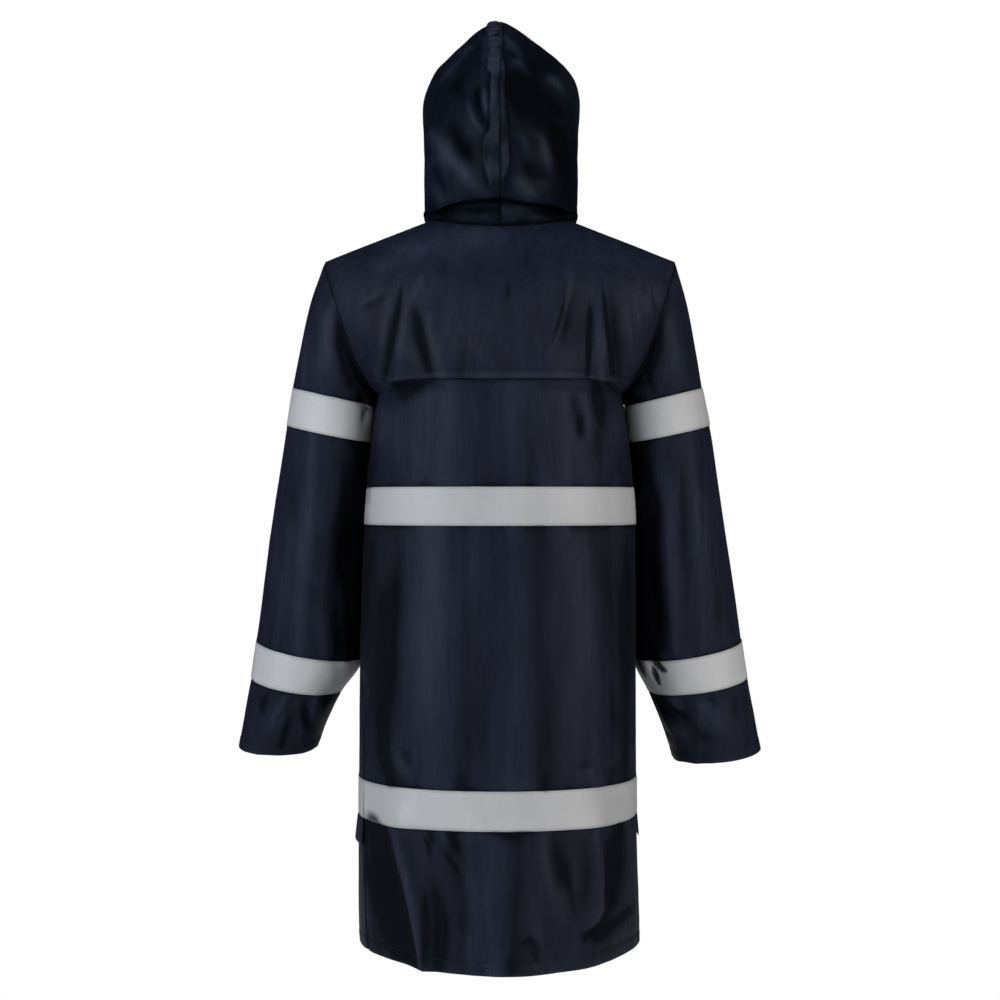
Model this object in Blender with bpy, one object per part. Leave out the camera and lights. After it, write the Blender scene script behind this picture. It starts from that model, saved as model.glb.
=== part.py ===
"""Hooded raincoat, filled out as it is worn.

Metres, +Z up. The front faces -Y, the back faces +Y and the wearer's left is +X. The origin is
the middle of the neck opening, at the height where the shoulder seams meet the neck.

Each sewn piece is a cloth wall: a grid of outer points, and at each point the way in which the
wall runs inwards. Pieces that are sewn together share the points of their seam, and each one
stops half a seam gap short of it. What lies on a panel is made from that panel's points.
"""

import math
from collections import namedtuple

import bmesh
import bpy
import numpy as np
from mathutils import Matrix, Vector

# Cloth and trims
CLOTH = 0.0012
TAPE = 0.0010
FLAP = 0.0016
SEAM = 0.0003
LIFT = 0.0003
MITRE_LIMIT = 1.4
SAME_WAY = 0.8
SHARP_EDGE = 50

# Neck, shoulder and armhole
NECK_HALF = 0.098
NAPE_DROP = 0.016
FRONT_NECK_DROP = 0.075
FRONT_NECK_SCOOP = 0.8
SHOULDER_HALF = 0.238
SHOULDER_DROP = 0.055
ARMPIT_DROP = 0.235
ARMPIT_HALF = 0.166
ARMHOLE_DEPTH = 0.082
ARMHOLE_EGG = 0.15
ARMHOLE_LEAN = 0.75
BODY_CORE_TOP = -0.200

# Grid: columns over half a body, rows from armpit to shoulder, points round a sleeve
NECK_COLUMNS = 6
SHOULDER_COLUMNS = 7
COLUMNS = NECK_COLUMNS + SHOULDER_COLUMNS
ARMHOLE_ROWS = 12
SLEEVE_POINTS = 2 * ARMHOLE_ROWS
HOOD_COLUMNS = 2 * NECK_COLUMNS

# Tapes: height of each upper edge, all 50 mm wide
TAPE_WIDTH = 0.050
CHEST_TAPE = -0.360
LOW_TAPE = -0.747

# Back yoke: a cape whose lower edge hangs free over the back panel
YOKE_ROW = 2
YOKE_EDGE_SHARE = 0.0612
YOKE_FLARE = 0.005
UNDERLAP_ROWS = 4
UNDERLAP_DEPTH = 0.0018
UNDERLAP_INSET = 0.004
YOKE_FLARE_SHARES = (1.0, 0.62, 0.3, 0.1)

# Front closing: a storm flap with press studs over the butted fronts
STORM_FLAP_HALF = 0.0325
STORM_FLAP_TOP = 0.85
STUD_RADIUS = 0.0075
STUD_HEIGHT = 0.0018
STUD_TAPER = 0.9
STUD_SEGMENTS = 20
STUD_COUNT = 7
FIRST_STUD = -0.100
STUD_PITCH = 0.118
STUD_X = -0.0165

# Pocket flaps, just under the low tape and out to the side seam: how far up the rows between
# the tape and the next row down, and how far off the front, from the free edge to the sewn one
FlapRow = namedtuple("FlapRow", "up stand")
POCKET_FLAP_ROWS = (FlapRow(0.05, 0.0032), FlapRow(0.50, 0.0019), FlapRow(0.955, LIFT))
POCKET_FLAP_COLUMNS = (5, 13)

# Half-width of the body on each side
Width = namedtuple("Width", "height left right")
HALF_WIDTHS = (
    Width(-0.972, 0.1900, 0.1890),
    Width(-0.950, 0.1914, 0.1890),
    Width(-0.914, 0.1918, 0.1877),
    Width(-0.797, 0.1908, 0.1845),
    Width(-0.600, 0.1895, 0.1838),
    Width(-0.460, 0.1863, 0.1836),
    Width(-0.410, 0.1835, 0.1832),
    Width(-0.335, 0.1780, 0.1785),
    Width(-0.2955, 0.1738, 0.1742),
    Width(-0.265, 0.1700, 0.1700),
    Width(-ARMPIT_DROP, ARMPIT_HALF, ARMPIT_HALF),
)

# Exponent of the body's section: squarer than an ellipse at the hips, less so at the hem
Roundness = namedtuple("Roundness", "height power")
ROUNDNESS = (
    Roundness(-0.972, 1.75),
    Roundness(-0.800, 2.25),
    Roundness(-0.600, 2.30),
    Roundness(-0.200, 2.30),
    Roundness(-0.100, 2.00),
    Roundness(0.000, 2.00),
)

# How far round the back the left side seam runs, in degrees of the section
Swing = namedtuple("Swing", "height degrees")
LEFT_SEAM_SWING = (
    Swing(-0.972, 22),
    Swing(-0.700, 20),
    Swing(-0.460, 0),
    Swing(-ARMPIT_DROP, 0),
)

Depth = namedtuple("Depth", "height back front")
CENTRE_DEPTHS = (
    Depth(-0.972, 0.214, 0.200),
    Depth(-0.880, 0.196, 0.192),
    Depth(-0.775, 0.178, 0.182),
    Depth(-0.600, 0.166, 0.172),
    Depth(-0.450, 0.160, 0.165),
    Depth(-0.385, 0.158, 0.162),
    Depth(-ARMPIT_DROP, 0.157, 0.155),
    Depth(-0.200, 0.158, 0.150),
    Depth(-0.150, 0.150, 0.140),
    Depth(-0.100, 0.135, 0.121),
    Depth(-0.060, 0.111, 0.098),
    Depth(-0.016, 0.085, 0.064),
    Depth(0.000, 0.070, 0.050),
)

BODY_HEIGHTS = (
    -0.972, -0.930, -0.880, -0.835, LOW_TAPE - TAPE_WIDTH, LOW_TAPE - TAPE_WIDTH / 2, LOW_TAPE,
    -0.700, -0.640, -0.580, -0.520, -0.460, CHEST_TAPE - TAPE_WIDTH,
    CHEST_TAPE - TAPE_WIDTH / 2, CHEST_TAPE, -0.330, -0.2955, -0.265,
)  # fmt: skip

# Stations along a sleeve: its outer and inner lines, half depth and forward lean in degrees
Ring = namedtuple("Ring", "outer_x outer_y outer_z inner_x inner_y inner_z depth lean")
SLEEVE_RINGS = (
    Ring(0.2380, 0.000, -0.0550, 0.1660, 0.000, -0.2350, 0.0820, 0),
    Ring(0.2580, -0.003, -0.1120, 0.1685, -0.001, -0.2395, 0.0805, 0),
    Ring(0.2712, -0.006, -0.1700, 0.1710, -0.008, -0.2440, 0.0795, 1),
    Ring(0.2822, -0.010, -0.2240, 0.1740, -0.020, -0.2490, 0.0785, 2),
    Ring(0.2905, -0.015, -0.2750, 0.1795, -0.035, -0.2965, 0.0780, 3),
    Ring(0.3050, -0.023, -0.3600, 0.1865, -0.045, -0.3800, 0.0760, 4),
    Ring(0.3170, -0.032, -0.4300, 0.1895, -0.050, -0.4500, 0.0735, 5),
    Ring(0.3270, -0.042, -0.5000, 0.1910, -0.055, -0.5200, 0.0710, 6),
    Ring(0.3368, -0.050, -0.5710, 0.1930, -0.060, -0.5946, 0.0670, 7),
    Ring(0.3450, -0.056, -0.6210, 0.2198, -0.060, -0.6400, 0.0620, 8),
    Ring(0.3560, -0.062, -0.6800, 0.2410, -0.062, -0.6850, 0.0560, 9),
    Ring(0.3640, -0.066, -0.7180, 0.2540, -0.066, -0.7180, 0.0500, 10),
)
# Where the right sleeve runs closer to the body and lower, station by station
Shift = namedtuple("Shift", "outer_x outer_z inner_x inner_z")
RIGHT_SHIFTS = (
    Shift(0.0000, 0.0000, 0.0000, 0.0000),
    Shift(-0.0042, 0.0000, 0.0000, 0.0000),
    Shift(-0.0060, 0.0000, 0.0000, 0.0000),
    Shift(-0.0063, 0.0000, 0.0000, 0.0000),
    Shift(-0.0038, 0.0000, 0.0000, 0.0000),
    Shift(-0.0052, 0.0000, 0.0000, 0.0000),
    Shift(-0.0058, 0.0000, -0.0010, 0.0000),
    Shift(-0.0038, 0.0000, -0.0028, 0.0000),
    Shift(-0.0028, 0.0000, -0.0050, 0.0000),
    Shift(-0.0026, 0.0000, -0.0139, 0.0000),
    Shift(-0.0017, 0.0000, -0.0149, -0.0050),
    Shift(-0.0015, -0.0034, -0.0135, -0.0160),
)
STATION_LENGTH = 0.065
EGG_STATIONS = 4
SLEEVE_STATIONS = (0, 1, 2, 3, 4, 4.5, 5, 5.5, 6, 6.5, 7, 7.5, 8, 9, 10, 11)
UPPER_ARM_TAPE = (3, 4)
LOWER_ARM_TAPE = (8, 9)

# Hood: how full each half is, and how square its crown is to the centre seam
Fullness = namedtuple("Fullness", "width crown")
HOOD_FULLNESS = {"left": Fullness(1.0, 1.0), "right": Fullness(1.025, 1.4)}
CROWN_BLUNTNESS = 0.7
HOOD_CORE = (0.0, 0.0, 0.080)

# Hood bows: arches from the centre front, round one side, to the centre seam behind
Bow = namedtuple("Bow", "front_y front_z back_y back_z half_width ridge side_lift")
HOOD_BOWS = (
    Bow(-0.1060, -0.070, 0.090, -0.002, 0.1012, 0.0, 0.0410),
    Bow(-0.1070, -0.066, 0.093, 0.013, 0.1022, 0.0, 0.0350),
    Bow(-0.1075, -0.063, 0.113, 0.0165, 0.1025, 0.0, 0.0345),
    Bow(-0.1080, -0.060, 0.1205, 0.036, 0.1022, 0.0, 0.0290),
    Bow(-0.1090, -0.057, 0.1240, 0.070, 0.1025, 0.1, 0.0190),
    Bow(-0.1100, -0.054, 0.1240, 0.110, 0.1025, 0.3, 0.0100),
    Bow(-0.1110, -0.051, 0.1160, 0.152, 0.1025, 0.6, 0.0050),
    Bow(-0.1120, -0.048, 0.0980, 0.195, 0.1025, 0.85, 0.0020),
    Bow(-0.1130, -0.046, 0.0680, 0.236, 0.1025, 1.0, 0.0),
    Bow(-0.1140, -0.044, 0.0300, 0.263, 0.1050, 1.0, 0.0),
    Bow(-0.1150, -0.042, -0.0100, 0.275, 0.1060, 1.0, 0.0),
    Bow(-0.1160, -0.040, -0.0500, 0.275, 0.1040, 1.0, 0.0),
    Bow(-0.1170, -0.037, -0.0850, 0.268, 0.0975, 0.8, 0.0),
    Bow(-0.1180, -0.035, -0.1150, 0.255, 0.0860, 0.5, 0.0),
)

# Folds that stand out of a body panel (or sink into it, below zero), from one end to the other
Fold = namedtuple("Fold", "face x0 z0 x1 z1 width rise")
BODY_FOLDS = (
    Fold("back", 0.102, -0.083, 0.117, -0.130, 0.020, 0.004),
    Fold("back", 0.135, -0.105, 0.150, -0.205, 0.020, -0.005),
    Fold("back", 0.112, -0.125, 0.089, -0.205, 0.018, -0.004),
    Fold("back", -0.090, -0.080, -0.058, -0.195, 0.022, 0.004),
    Fold("back", -0.122, -0.110, -0.116, -0.205, 0.020, -0.005),
    Fold("back", -0.136, -0.090, -0.150, -0.200, 0.020, 0.004),
    Fold("back", 0.138, -0.800, 0.104, -0.975, 0.030, 0.011),
    Fold("back", 0.160, -0.850, 0.142, -0.975, 0.022, -0.007),
    Fold("back", -0.130, -0.810, -0.112, -0.975, 0.030, 0.009),
    Fold("back", -0.020, -0.850, -0.034, -0.975, 0.034, 0.005),
    Fold("front", 0.110, -0.100, 0.092, -0.210, 0.024, 0.004),
    Fold("front", -0.118, -0.120, -0.102, -0.240, 0.024, -0.004),
    Fold("front", 0.096, -0.840, 0.118, -0.975, 0.030, 0.009),
    Fold("front", -0.110, -0.850, -0.128, -0.975, 0.032, 0.010),
)

# Folds round a sleeve, as (station, angle) ends; 0 degrees is the inner line, 90 the back
SleeveFold = namedtuple("SleeveFold", "sleeve s0 angle0 s1 angle1 width rise")
SLEEVE_FOLDS = (
    SleeveFold("left", 4.4, 55, 5.6, 95, 0.022, 0.004),
    SleeveFold("left", 5.6, 50, 7.0, 70, 0.022, -0.004),
    SleeveFold("left", 6.2, 300, 7.6, 270, 0.024, 0.004),
    SleeveFold("left", 9.4, 55, 10.8, 50, 0.016, 0.003),
    SleeveFold("right", 4.4, 60, 5.4, 100, 0.022, 0.004),
    SleeveFold("right", 5.8, 55, 7.2, 80, 0.022, 0.004),
    SleeveFold("right", 6.4, 305, 7.8, 275, 0.024, -0.004),
    SleeveFold("right", 9.3, 40, 10.7, 45, 0.018, 0.003),
)

Finish = namedtuple("Finish", "colour roughness metallic")
NAVY = Finish((0.018, 0.022, 0.036), 0.45, 0.0)
NAVY_DEEP = Finish((0.011, 0.015, 0.024), 0.45, 0.0)
SILVER_TAPE = Finish((0.40, 0.40, 0.42), 0.40, 0.0)
STUD_METAL = Finish((0.10, 0.10, 0.11), 0.35, 1.0)


def flow(table, at, key, value):
    """Value of a column of a table at a key, on a smooth curve that never overshoots."""
    keys = np.array([key(row) for row in table], float)
    values = np.array([value(row) for row in table], float)
    steps = np.diff(values) / np.diff(keys)
    slopes = np.empty_like(values)
    slopes[0], slopes[-1] = steps[0], steps[-1]
    for i in range(1, len(values) - 1):
        before, after = steps[i - 1], steps[i]
        same_way = before * after > 0
        slopes[i] = 2 * before * after / (before + after) if same_way else 0.0
    i = int(np.clip(np.searchsorted(keys, at) - 1, 0, len(keys) - 2))
    width = keys[i + 1] - keys[i]
    t = float(np.clip((at - keys[i]) / width, 0, 1))
    return float(
        (2 * t**3 - 3 * t**2 + 1) * values[i]
        + (t**3 - 2 * t**2 + t) * width * slopes[i]
        + (3 * t**2 - 2 * t**3) * values[i + 1]
        + (t**3 - t**2) * width * slopes[i + 1]
    )


def blend(a, b, share):
    return a + (b - a) * share


def unit(vectors):
    lengths = np.linalg.norm(vectors, axis=-1, keepdims=True)
    return vectors / np.maximum(lengths, 1e-12)


# ---- the shape of the body ----


def at_height(table, height, column):
    return flow(table, height, lambda row: row.height, lambda row: getattr(row, column))


def centre_depth(height, face):
    return at_height(CENTRE_DEPTHS, height, face)


def armhole_point(turn):
    """A point of the left armhole; turn is 0 at the armpit, pi at the shoulder, back side first."""
    height = -(ARMPIT_DROP + SHOULDER_DROP) / 2
    height -= (ARMPIT_DROP - SHOULDER_DROP) / 2 * math.cos(turn)
    climb = max((height + ARMPIT_DROP) / (ARMPIT_DROP - SHOULDER_DROP), 0.0)
    x = blend(ARMPIT_HALF, SHOULDER_HALF, climb**ARMHOLE_LEAN)
    y = ARMHOLE_DEPTH * math.sin(turn) * (1 + ARMHOLE_EGG * math.cos(turn))
    return np.array((x, y, height))


def roundness(height):
    return at_height(ROUNDNESS, height, "power")


def section_half_width(height, face, side):
    """Half-width at which a level section of the body would close."""
    if height <= -ARMPIT_DROP:
        return at_height(HALF_WIDTHS, height, side)
    if height >= -SHOULDER_DROP:
        return blend(NECK_HALF, SHOULDER_HALF, -height / SHOULDER_DROP)
    middle = -(ARMPIT_DROP + SHOULDER_DROP) / 2
    turn = math.acos((middle - height) / ((ARMPIT_DROP - SHOULDER_DROP) / 2))
    edge = armhole_point(turn)
    power = roundness(height)
    open_share = abs(edge[1]) / centre_depth(height, face)
    return edge[0] / (1 - open_share**power) ** (1 / power)


def body_depth(x, height, face, side):
    """How far the body's surface lies behind (or in front of) its middle plane."""
    power = roundness(height)
    across = min(abs(x) / section_half_width(height, face, side), 1.0)
    if across > 1 - 1e-6:
        return 0.0
    return centre_depth(height, face) * (1 - across**power) ** (1 / power)


def top_height(x, face):
    """Height of the neckline, and then of the shoulder seam, at a distance from the middle."""
    if x >= NECK_HALF:
        return -SHOULDER_DROP * (x - NECK_HALF) / (SHOULDER_HALF - NECK_HALF)
    rise = 1 - (x / NECK_HALF) ** 2
    if face == "back":
        return -NAPE_DROP * rise
    return -FRONT_NECK_DROP * rise**FRONT_NECK_SCOOP


def top_edge(column, face):
    """Half-width and height of a column's end, on the neckline and then on the shoulder seam."""
    if column > NECK_COLUMNS:
        x = blend(NECK_HALF, SHOULDER_HALF, (column - NECK_COLUMNS) / SHOULDER_COLUMNS)
    elif face == "front" and 0 < column < NECK_COLUMNS:
        flap_turn = math.asin(STORM_FLAP_HALF / NECK_HALF)
        turn = blend(flap_turn, math.pi / 2, (column - 1) / (NECK_COLUMNS - 1))
        x = NECK_HALF * math.sin(turn)
    else:
        x = NECK_HALF * math.sin(math.pi / 2 * column / NECK_COLUMNS)
    return x, top_height(x, face)


def column_turn(column, height, face, side):
    """Angle round the section, from the middle of a face, at which a column runs below the armpit."""
    swing = math.radians(at_height(LEFT_SEAM_SWING, height, "degrees")) if side == "left" else 0.0
    last = math.pi / 2 + (swing if face == "front" else -swing)
    if face == "back" or column == 0:
        return last * column / COLUMNS
    width = section_half_width(height, face, side)
    flap_turn = math.asin((STORM_FLAP_HALF / width) ** (roundness(height) / 2))
    return blend(flap_turn, last, (column - 1) / (COLUMNS - 1))


def fold_rise(x, height, face):
    """Sum of the folds at a place on a face of the body."""
    rise = 0.0
    for fold in BODY_FOLDS:
        if fold.face != face:
            continue
        run = np.array((fold.x1 - fold.x0, fold.z1 - fold.z0))
        to_point = np.array((x - fold.x0, height - fold.z0))
        along = float(np.clip(to_point @ run / (run @ run), 0, 1))
        apart = np.linalg.norm(to_point - along * run)
        rise += fold.rise * math.exp(-((apart / fold.width) ** 2))
    return rise


def body_point(column, x, depth, height, face, side):
    """A point on the body, with its folds, which die out towards the side seam."""
    mirror = 1 if side == "left" else -1
    away = 1 if face == "back" else -1
    fade = 1 - (column / COLUMNS) ** 4
    return mirror * x, away * (depth + fade * fold_rise(mirror * x, height, face)), height


def side_seam_point(height, side):
    """A point of a side seam, which may run some way round the back."""
    turn = column_turn(COLUMNS, height, "back", side)
    power = roundness(height)
    x = section_half_width(height, "back", side) * math.sin(turn) ** (2 / power)
    y = centre_depth(height, "back") * max(math.cos(turn), 0.0) ** (2 / power)
    return (x if side == "left" else -x), (y if turn < math.pi / 2 else 0.0), height


def lower_row(height, face, side):
    """A row of points from the middle to the side seam, below the armpit."""
    width = section_half_width(height, face, side)
    power = roundness(height)
    row = []
    for column in range(COLUMNS):
        turn = column_turn(column, height, face, side)
        x = width * math.sin(turn) ** (2 / power)
        depth = abs(math.cos(turn)) ** (2 / power)
        if turn <= math.pi / 2:
            depth *= centre_depth(height, face)
        else:
            depth *= -centre_depth(height, "back")
        row.append(body_point(column, x, depth, height, face, side))
    row.append(side_seam_point(height, side))
    return row


def upper_row(index, face, side):
    """A row of points from the middle to the armhole; the last one runs along neck and shoulder."""
    turn = math.pi * index / ARMHOLE_ROWS
    edge = armhole_point(turn)
    edge_share = (1 - math.cos(turn)) / 2
    middle_share = index / ARMHOLE_ROWS
    if face == "back":
        past_edge = (index - YOKE_ROW) / (ARMHOLE_ROWS - YOKE_ROW)
        middle_share = blend(YOKE_EDGE_SHARE, 1, past_edge)
        if index < YOKE_ROW:
            middle_share = YOKE_EDGE_SHARE * index / YOKE_ROW
    width = section_half_width(float(edge[2]), face, side)
    power = roundness(float(edge[2]))
    last_turn = math.asin(min(edge[0] / width, 1.0) ** (power / 2))
    mirror = 1 if side == "left" else -1
    away = 1 if face == "back" else -1
    row = []
    for column in range(COLUMNS):
        top_x, _ = top_edge(column, face)
        near_edge = min(top_x / NECK_HALF, 1.0)
        share = blend(middle_share, edge_share, near_edge)
        spread = math.sin(last_turn * column / COLUMNS) ** (2 / power)
        spread /= math.sin(last_turn) ** (2 / power)
        if face == "front" and column > 0:
            turn_below = column_turn(column, -ARMPIT_DROP, face, side)
            spread = math.sin(turn_below) ** (2 / roundness(-ARMPIT_DROP))
        x = blend(edge[0] * spread, top_x, (index / ARMHOLE_ROWS) ** 2)
        if face == "front" and column == 1:
            x = STORM_FLAP_HALF
        height = blend(-ARMPIT_DROP, top_height(x, face), share)
        depth = body_depth(x, height, face, side)
        if index < ARMHOLE_ROWS:
            row.append(body_point(column, x, depth, height, face, side))
        else:
            row.append((mirror * x, away * depth, height))
    row.append((mirror * edge[0], away * edge[1], edge[2]))
    return row


def both_sides(make_row):
    """A whole row from the right edge to the left one, from a function that makes one side."""
    right = make_row("right")
    left = make_row("left")
    return right[:0:-1] + left


# ---- panels: grids of outer points, and the way their walls run inwards ----


class Panel:
    """A sewn piece before it gets its wall.

    sewn names the edges that meet other pieces, each with the slice of points that do.
    """

    def __init__(self, name, outer, core, sewn, ring=False):
        self.name = name
        self.outer = np.array(outer, float)
        self.sewn = sewn
        self.ring = ring
        self.way_out = self.normals(core)

    def normals(self, core):
        points = self.outer
        along = np.gradient(points, axis=0)
        if self.ring:
            across = np.roll(points, -1, axis=1) - np.roll(points, 1, axis=1)
        else:
            across = np.gradient(points, axis=1)
        normals = unit(np.cross(along, across))
        outward = np.sum(normals * (points - np.array(core(points))), axis=-1)
        self.inside_out = float(np.sum(outward)) < 0
        return -normals if self.inside_out else normals

    def edge_points(self):
        """Each sewn point with its direction along the seam and the next point inside."""
        rows, columns = self.outer.shape[:2]
        for edge, span in self.sewn.items():
            if edge in ("first_row", "last_row"):
                row, inside = (0, 1) if edge == "first_row" else (rows - 1, rows - 2)
                for column in range(columns)[span]:
                    before, after = (column - 1) % columns, (column + 1) % columns
                    if not self.ring:
                        before, after = max(column - 1, 0), min(column + 1, columns - 1)
                    yield (row, column), (row, before), (row, after), (inside, column)
            else:
                column, inside = (0, 1) if edge == "first_column" else (columns - 1, columns - 2)
                for row in range(rows)[span]:
                    before, after = max(row - 1, 0), min(row + 1, rows - 1)
                    yield (row, column), (before, column), (after, column), (row, inside)


def place_key(point):
    return tuple(int(round(value * 1e5)) for value in point)


def sew(panels):
    """Turn the walls of pieces that meet the same way, and draw each back from the seam."""
    meetings = {}
    for panel in panels:
        for here, *_ in panel.edge_points():
            meetings.setdefault(place_key(panel.outer[here]), []).append((panel, here))
    turned = []
    for members in meetings.values():
        ways = []
        for panel, here in members:
            way = panel.way_out[here]
            if all(float(way @ other) < SAME_WAY for other in ways):
                ways.append(way)
        shared = unit(np.sum(ways, axis=0))
        least = min(float(shared @ way) for way in ways)
        turned.append((members, shared / max(least, 1 / MITRE_LIMIT)))
    for panel in panels:
        shift = np.zeros_like(panel.outer)
        for here, before, after, inside in panel.edge_points():
            along = unit(panel.outer[after] - panel.outer[before])
            inward = panel.outer[inside] - panel.outer[here]
            shift[here] += unit(inward - (inward @ along) * along) * SEAM / 2
        panel.drawn = panel.outer + shift
    for members, way in turned:
        for panel, here in members:
            panel.way_out[here] = way
    for panel in panels:
        panel.outer = panel.drawn


def seam_rank(points):
    """An order of points in space, so that two pieces split their rims the same way at a seam."""
    return (np.abs(points) @ np.array((1.0, 0.0, 0.0)) + points @ np.array((0.0, 0.37, 0.73))).ravel()


def wall_faces(outer, ring, flip):
    """Faces of a wall whose outer points come first and whose inner points follow."""
    rows, columns = outer.shape[:2]
    rank = seam_rank(outer)
    inner = rows * columns
    faces = []

    def add(*corners):
        faces.append(corners[::-1] if flip else corners)

    def add_rim(a, b):
        if rank[a] < rank[b]:
            add(a, b, b + inner)
            add(a, b + inner, a + inner)
        else:
            add(a, b, a + inner)
            add(b, b + inner, a + inner)

    def at(row, column):
        return row * columns + column % columns

    spans = columns if ring else columns - 1
    for row in range(rows - 1):
        for column in range(spans):
            a, b = at(row, column), at(row, column + 1)
            c, d = at(row + 1, column + 1), at(row + 1, column)
            add(a, d, c, b)
            add(a + inner, b + inner, c + inner, d + inner)
    for column in range(spans):
        add_rim(at(0, column), at(0, column + 1))
        add_rim(at(rows - 1, column + 1), at(rows - 1, column))
    if not ring:
        for row in range(rows - 1):
            add_rim(at(row + 1, 0), at(row, 0))
            add_rim(at(row, columns - 1), at(row + 1, columns - 1))
    return faces


def paint(obj, finish):
    material = bpy.data.materials.new(obj.name)
    material.use_nodes = True
    shader = material.node_tree.nodes["Principled BSDF"]
    shader.inputs["Base Color"].default_value = (*finish.colour, 1)
    shader.inputs["Roughness"].default_value = finish.roughness
    shader.inputs["Metallic"].default_value = finish.metallic
    obj.data.materials.append(material)


def add_wall(name, outer, inner, finish, inside_out, ring=False):
    """One cloth piece from its outer and inner points."""
    points = np.concatenate((outer.reshape(-1, 3), inner.reshape(-1, 3)))
    mesh = bpy.data.meshes.new(name)
    faces = wall_faces(outer, ring, inside_out)
    mesh.from_pydata([tuple(point) for point in points], [], faces)
    mesh.update()
    mesh.shade_smooth()
    mesh.set_sharp_from_angle(angle=math.radians(SHARP_EDGE))
    obj = bpy.data.objects.new(name, mesh)
    garment.objects.link(obj)
    paint(obj, finish)
    return obj


def add_panel(panel, finish, thickness=CLOTH):
    inner = panel.outer - thickness * panel.way_out
    return add_wall(panel.name, panel.outer, inner, finish, panel.inside_out, panel.ring)


def add_overlay(name, panel, rows, columns, finish, thickness=TAPE, lift=LIFT):
    """A piece that lies on a panel, over the given rows and columns of its points."""
    outer = panel.outer[rows, columns]
    way = panel.way_out[rows, columns]
    high = outer + (lift + thickness) * way
    low = outer + lift * way
    return add_wall(name, high, low, finish, panel.inside_out, panel.ring)


# ---- the pieces ----


def body_core(points):
    core = points.copy()
    core[..., :2] = 0
    core[..., 2] = np.minimum(core[..., 2], BODY_CORE_TOP)
    return core


def back_panel():
    """The back below the yoke, and the lap that runs up under the yoke's free edge."""
    rows = [both_sides(lambda side, z=z: lower_row(z, "back", side)) for z in BODY_HEIGHTS]
    for index in range(UNDERLAP_ROWS + 1):
        rows.append(both_sides(lambda side, i=index: upper_row(i, "back", side)))
    sewn_rows = len(BODY_HEIGHTS) + YOKE_ROW
    side = slice(0, sewn_rows)
    panel = Panel("back_panel", rows, body_core, {"first_column": side, "last_column": side})
    for row in range(sewn_rows, len(rows)):
        panel.outer[row] -= UNDERLAP_DEPTH * panel.way_out[row]
        inset = UNDERLAP_INSET / (1 if row > sewn_rows else 3)
        for column, inside in ((0, 1), (-1, -2)):
            inward = panel.outer[row, inside] - panel.outer[row, column]
            panel.outer[row, column] += inset * unit(inward)
    return panel


def back_yoke():
    """The cape over the shoulders: sewn at neck, shoulders and armholes, free below."""
    rows = []
    for index in range(YOKE_ROW, ARMHOLE_ROWS + 1):
        rows.append(both_sides(lambda side, i=index: upper_row(i, "back", side)))
    whole = slice(0, len(rows))
    sewn = {"first_column": whole, "last_column": whole, "last_row": slice(None)}
    panel = Panel("back_yoke", rows, body_core, sewn)
    for row, share in enumerate(YOKE_FLARE_SHARES):
        reach = 1 - (panel.outer[row, :, 0] / panel.outer[row, -1, 0]) ** 2
        flare = YOKE_FLARE * share * np.maximum(reach, 0)
        panel.outer[row] += flare[:, None] * panel.way_out[row]
    return panel


def front(side):
    """One front, from the centre to the side seam and armhole, hem to shoulder."""
    rows = [lower_row(z, "front", side) for z in BODY_HEIGHTS]
    rows += [upper_row(index, "front", side) for index in range(ARMHOLE_ROWS + 1)]
    whole = slice(0, len(rows))
    sewn = {"first_column": whole, "last_column": whole, "last_row": slice(None)}
    return Panel(f"front_{side}", rows, body_core, sewn)


def sleeve_fold_rise(side, station, turn, radius):
    rise = 0.0
    for fold in SLEEVE_FOLDS:
        if fold.sleeve != side:
            continue
        run = np.array((fold.s1 - fold.s0, math.radians(fold.angle1 - fold.angle0)))
        to_point = np.array((station - fold.s0, turn - math.radians(fold.angle0)))
        scale = np.array((STATION_LENGTH, radius))
        run, to_point = run * scale, to_point * scale
        along = float(np.clip(to_point @ run / (run @ run), 0, 1))
        apart = np.linalg.norm(to_point - along * run)
        rise += fold.rise * math.exp(-((apart / fold.width) ** 2))
    return rise


def ring_at(side, station):
    """The ring of the table, or one between two of them, at a station of a sleeve."""
    rings = list(SLEEVE_RINGS)
    if side == "right":
        for i, (ring, shift) in enumerate(zip(SLEEVE_RINGS, RIGHT_SHIFTS)):
            moved = {key: getattr(ring, key) + value for key, value in shift._asdict().items()}
            rings[i] = ring._replace(**moved)
    numbered = list(enumerate(rings))
    return Ring(*(
        flow(numbered, station, lambda row: row[0], lambda row, i=i: row[1][i])
        for i in range(len(Ring._fields))
    ))  # fmt: skip


def sleeve_row(side, station):
    """The ring of points round a sleeve at a station."""
    if station == 0:
        back = [armhole_point(math.pi * i / ARMHOLE_ROWS) for i in range(ARMHOLE_ROWS + 1)]
        ring = back + [point * (1, -1, 1) for point in back[-2:0:-1]]
    else:
        at = ring_at(side, station)
        outer = np.array((at.outer_x, at.outer_y, at.outer_z))
        inner = np.array((at.inner_x, at.inner_y, at.inner_z))
        across = unit(outer - inner)
        lean = math.radians(at.lean)
        back_way = np.array((0, math.cos(lean), -math.sin(lean)))
        back_way = unit(back_way - (back_way @ across) * across)
        egg = ARMHOLE_EGG * max(1 - station / EGG_STATIONS, 0)
        ring = []
        for index in range(SLEEVE_POINTS):
            turn = 2 * math.pi * index / SLEEVE_POINTS
            bulge = at.depth * math.sin(turn) * (1 + egg * math.cos(turn))
            share = (1 - math.cos(turn)) / 2
            point = inner + (outer - inner) * share + bulge * back_way
            way = unit(point - (outer + inner) / 2)
            ring.append(point + way * sleeve_fold_rise(side, station, turn, at.depth))
    mirror = 1 if side == "left" else -1
    return [point * (mirror, 1, 1) for point in ring]


def sleeve_core(points):
    return np.broadcast_to(points.mean(axis=1, keepdims=True), points.shape)


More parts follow.
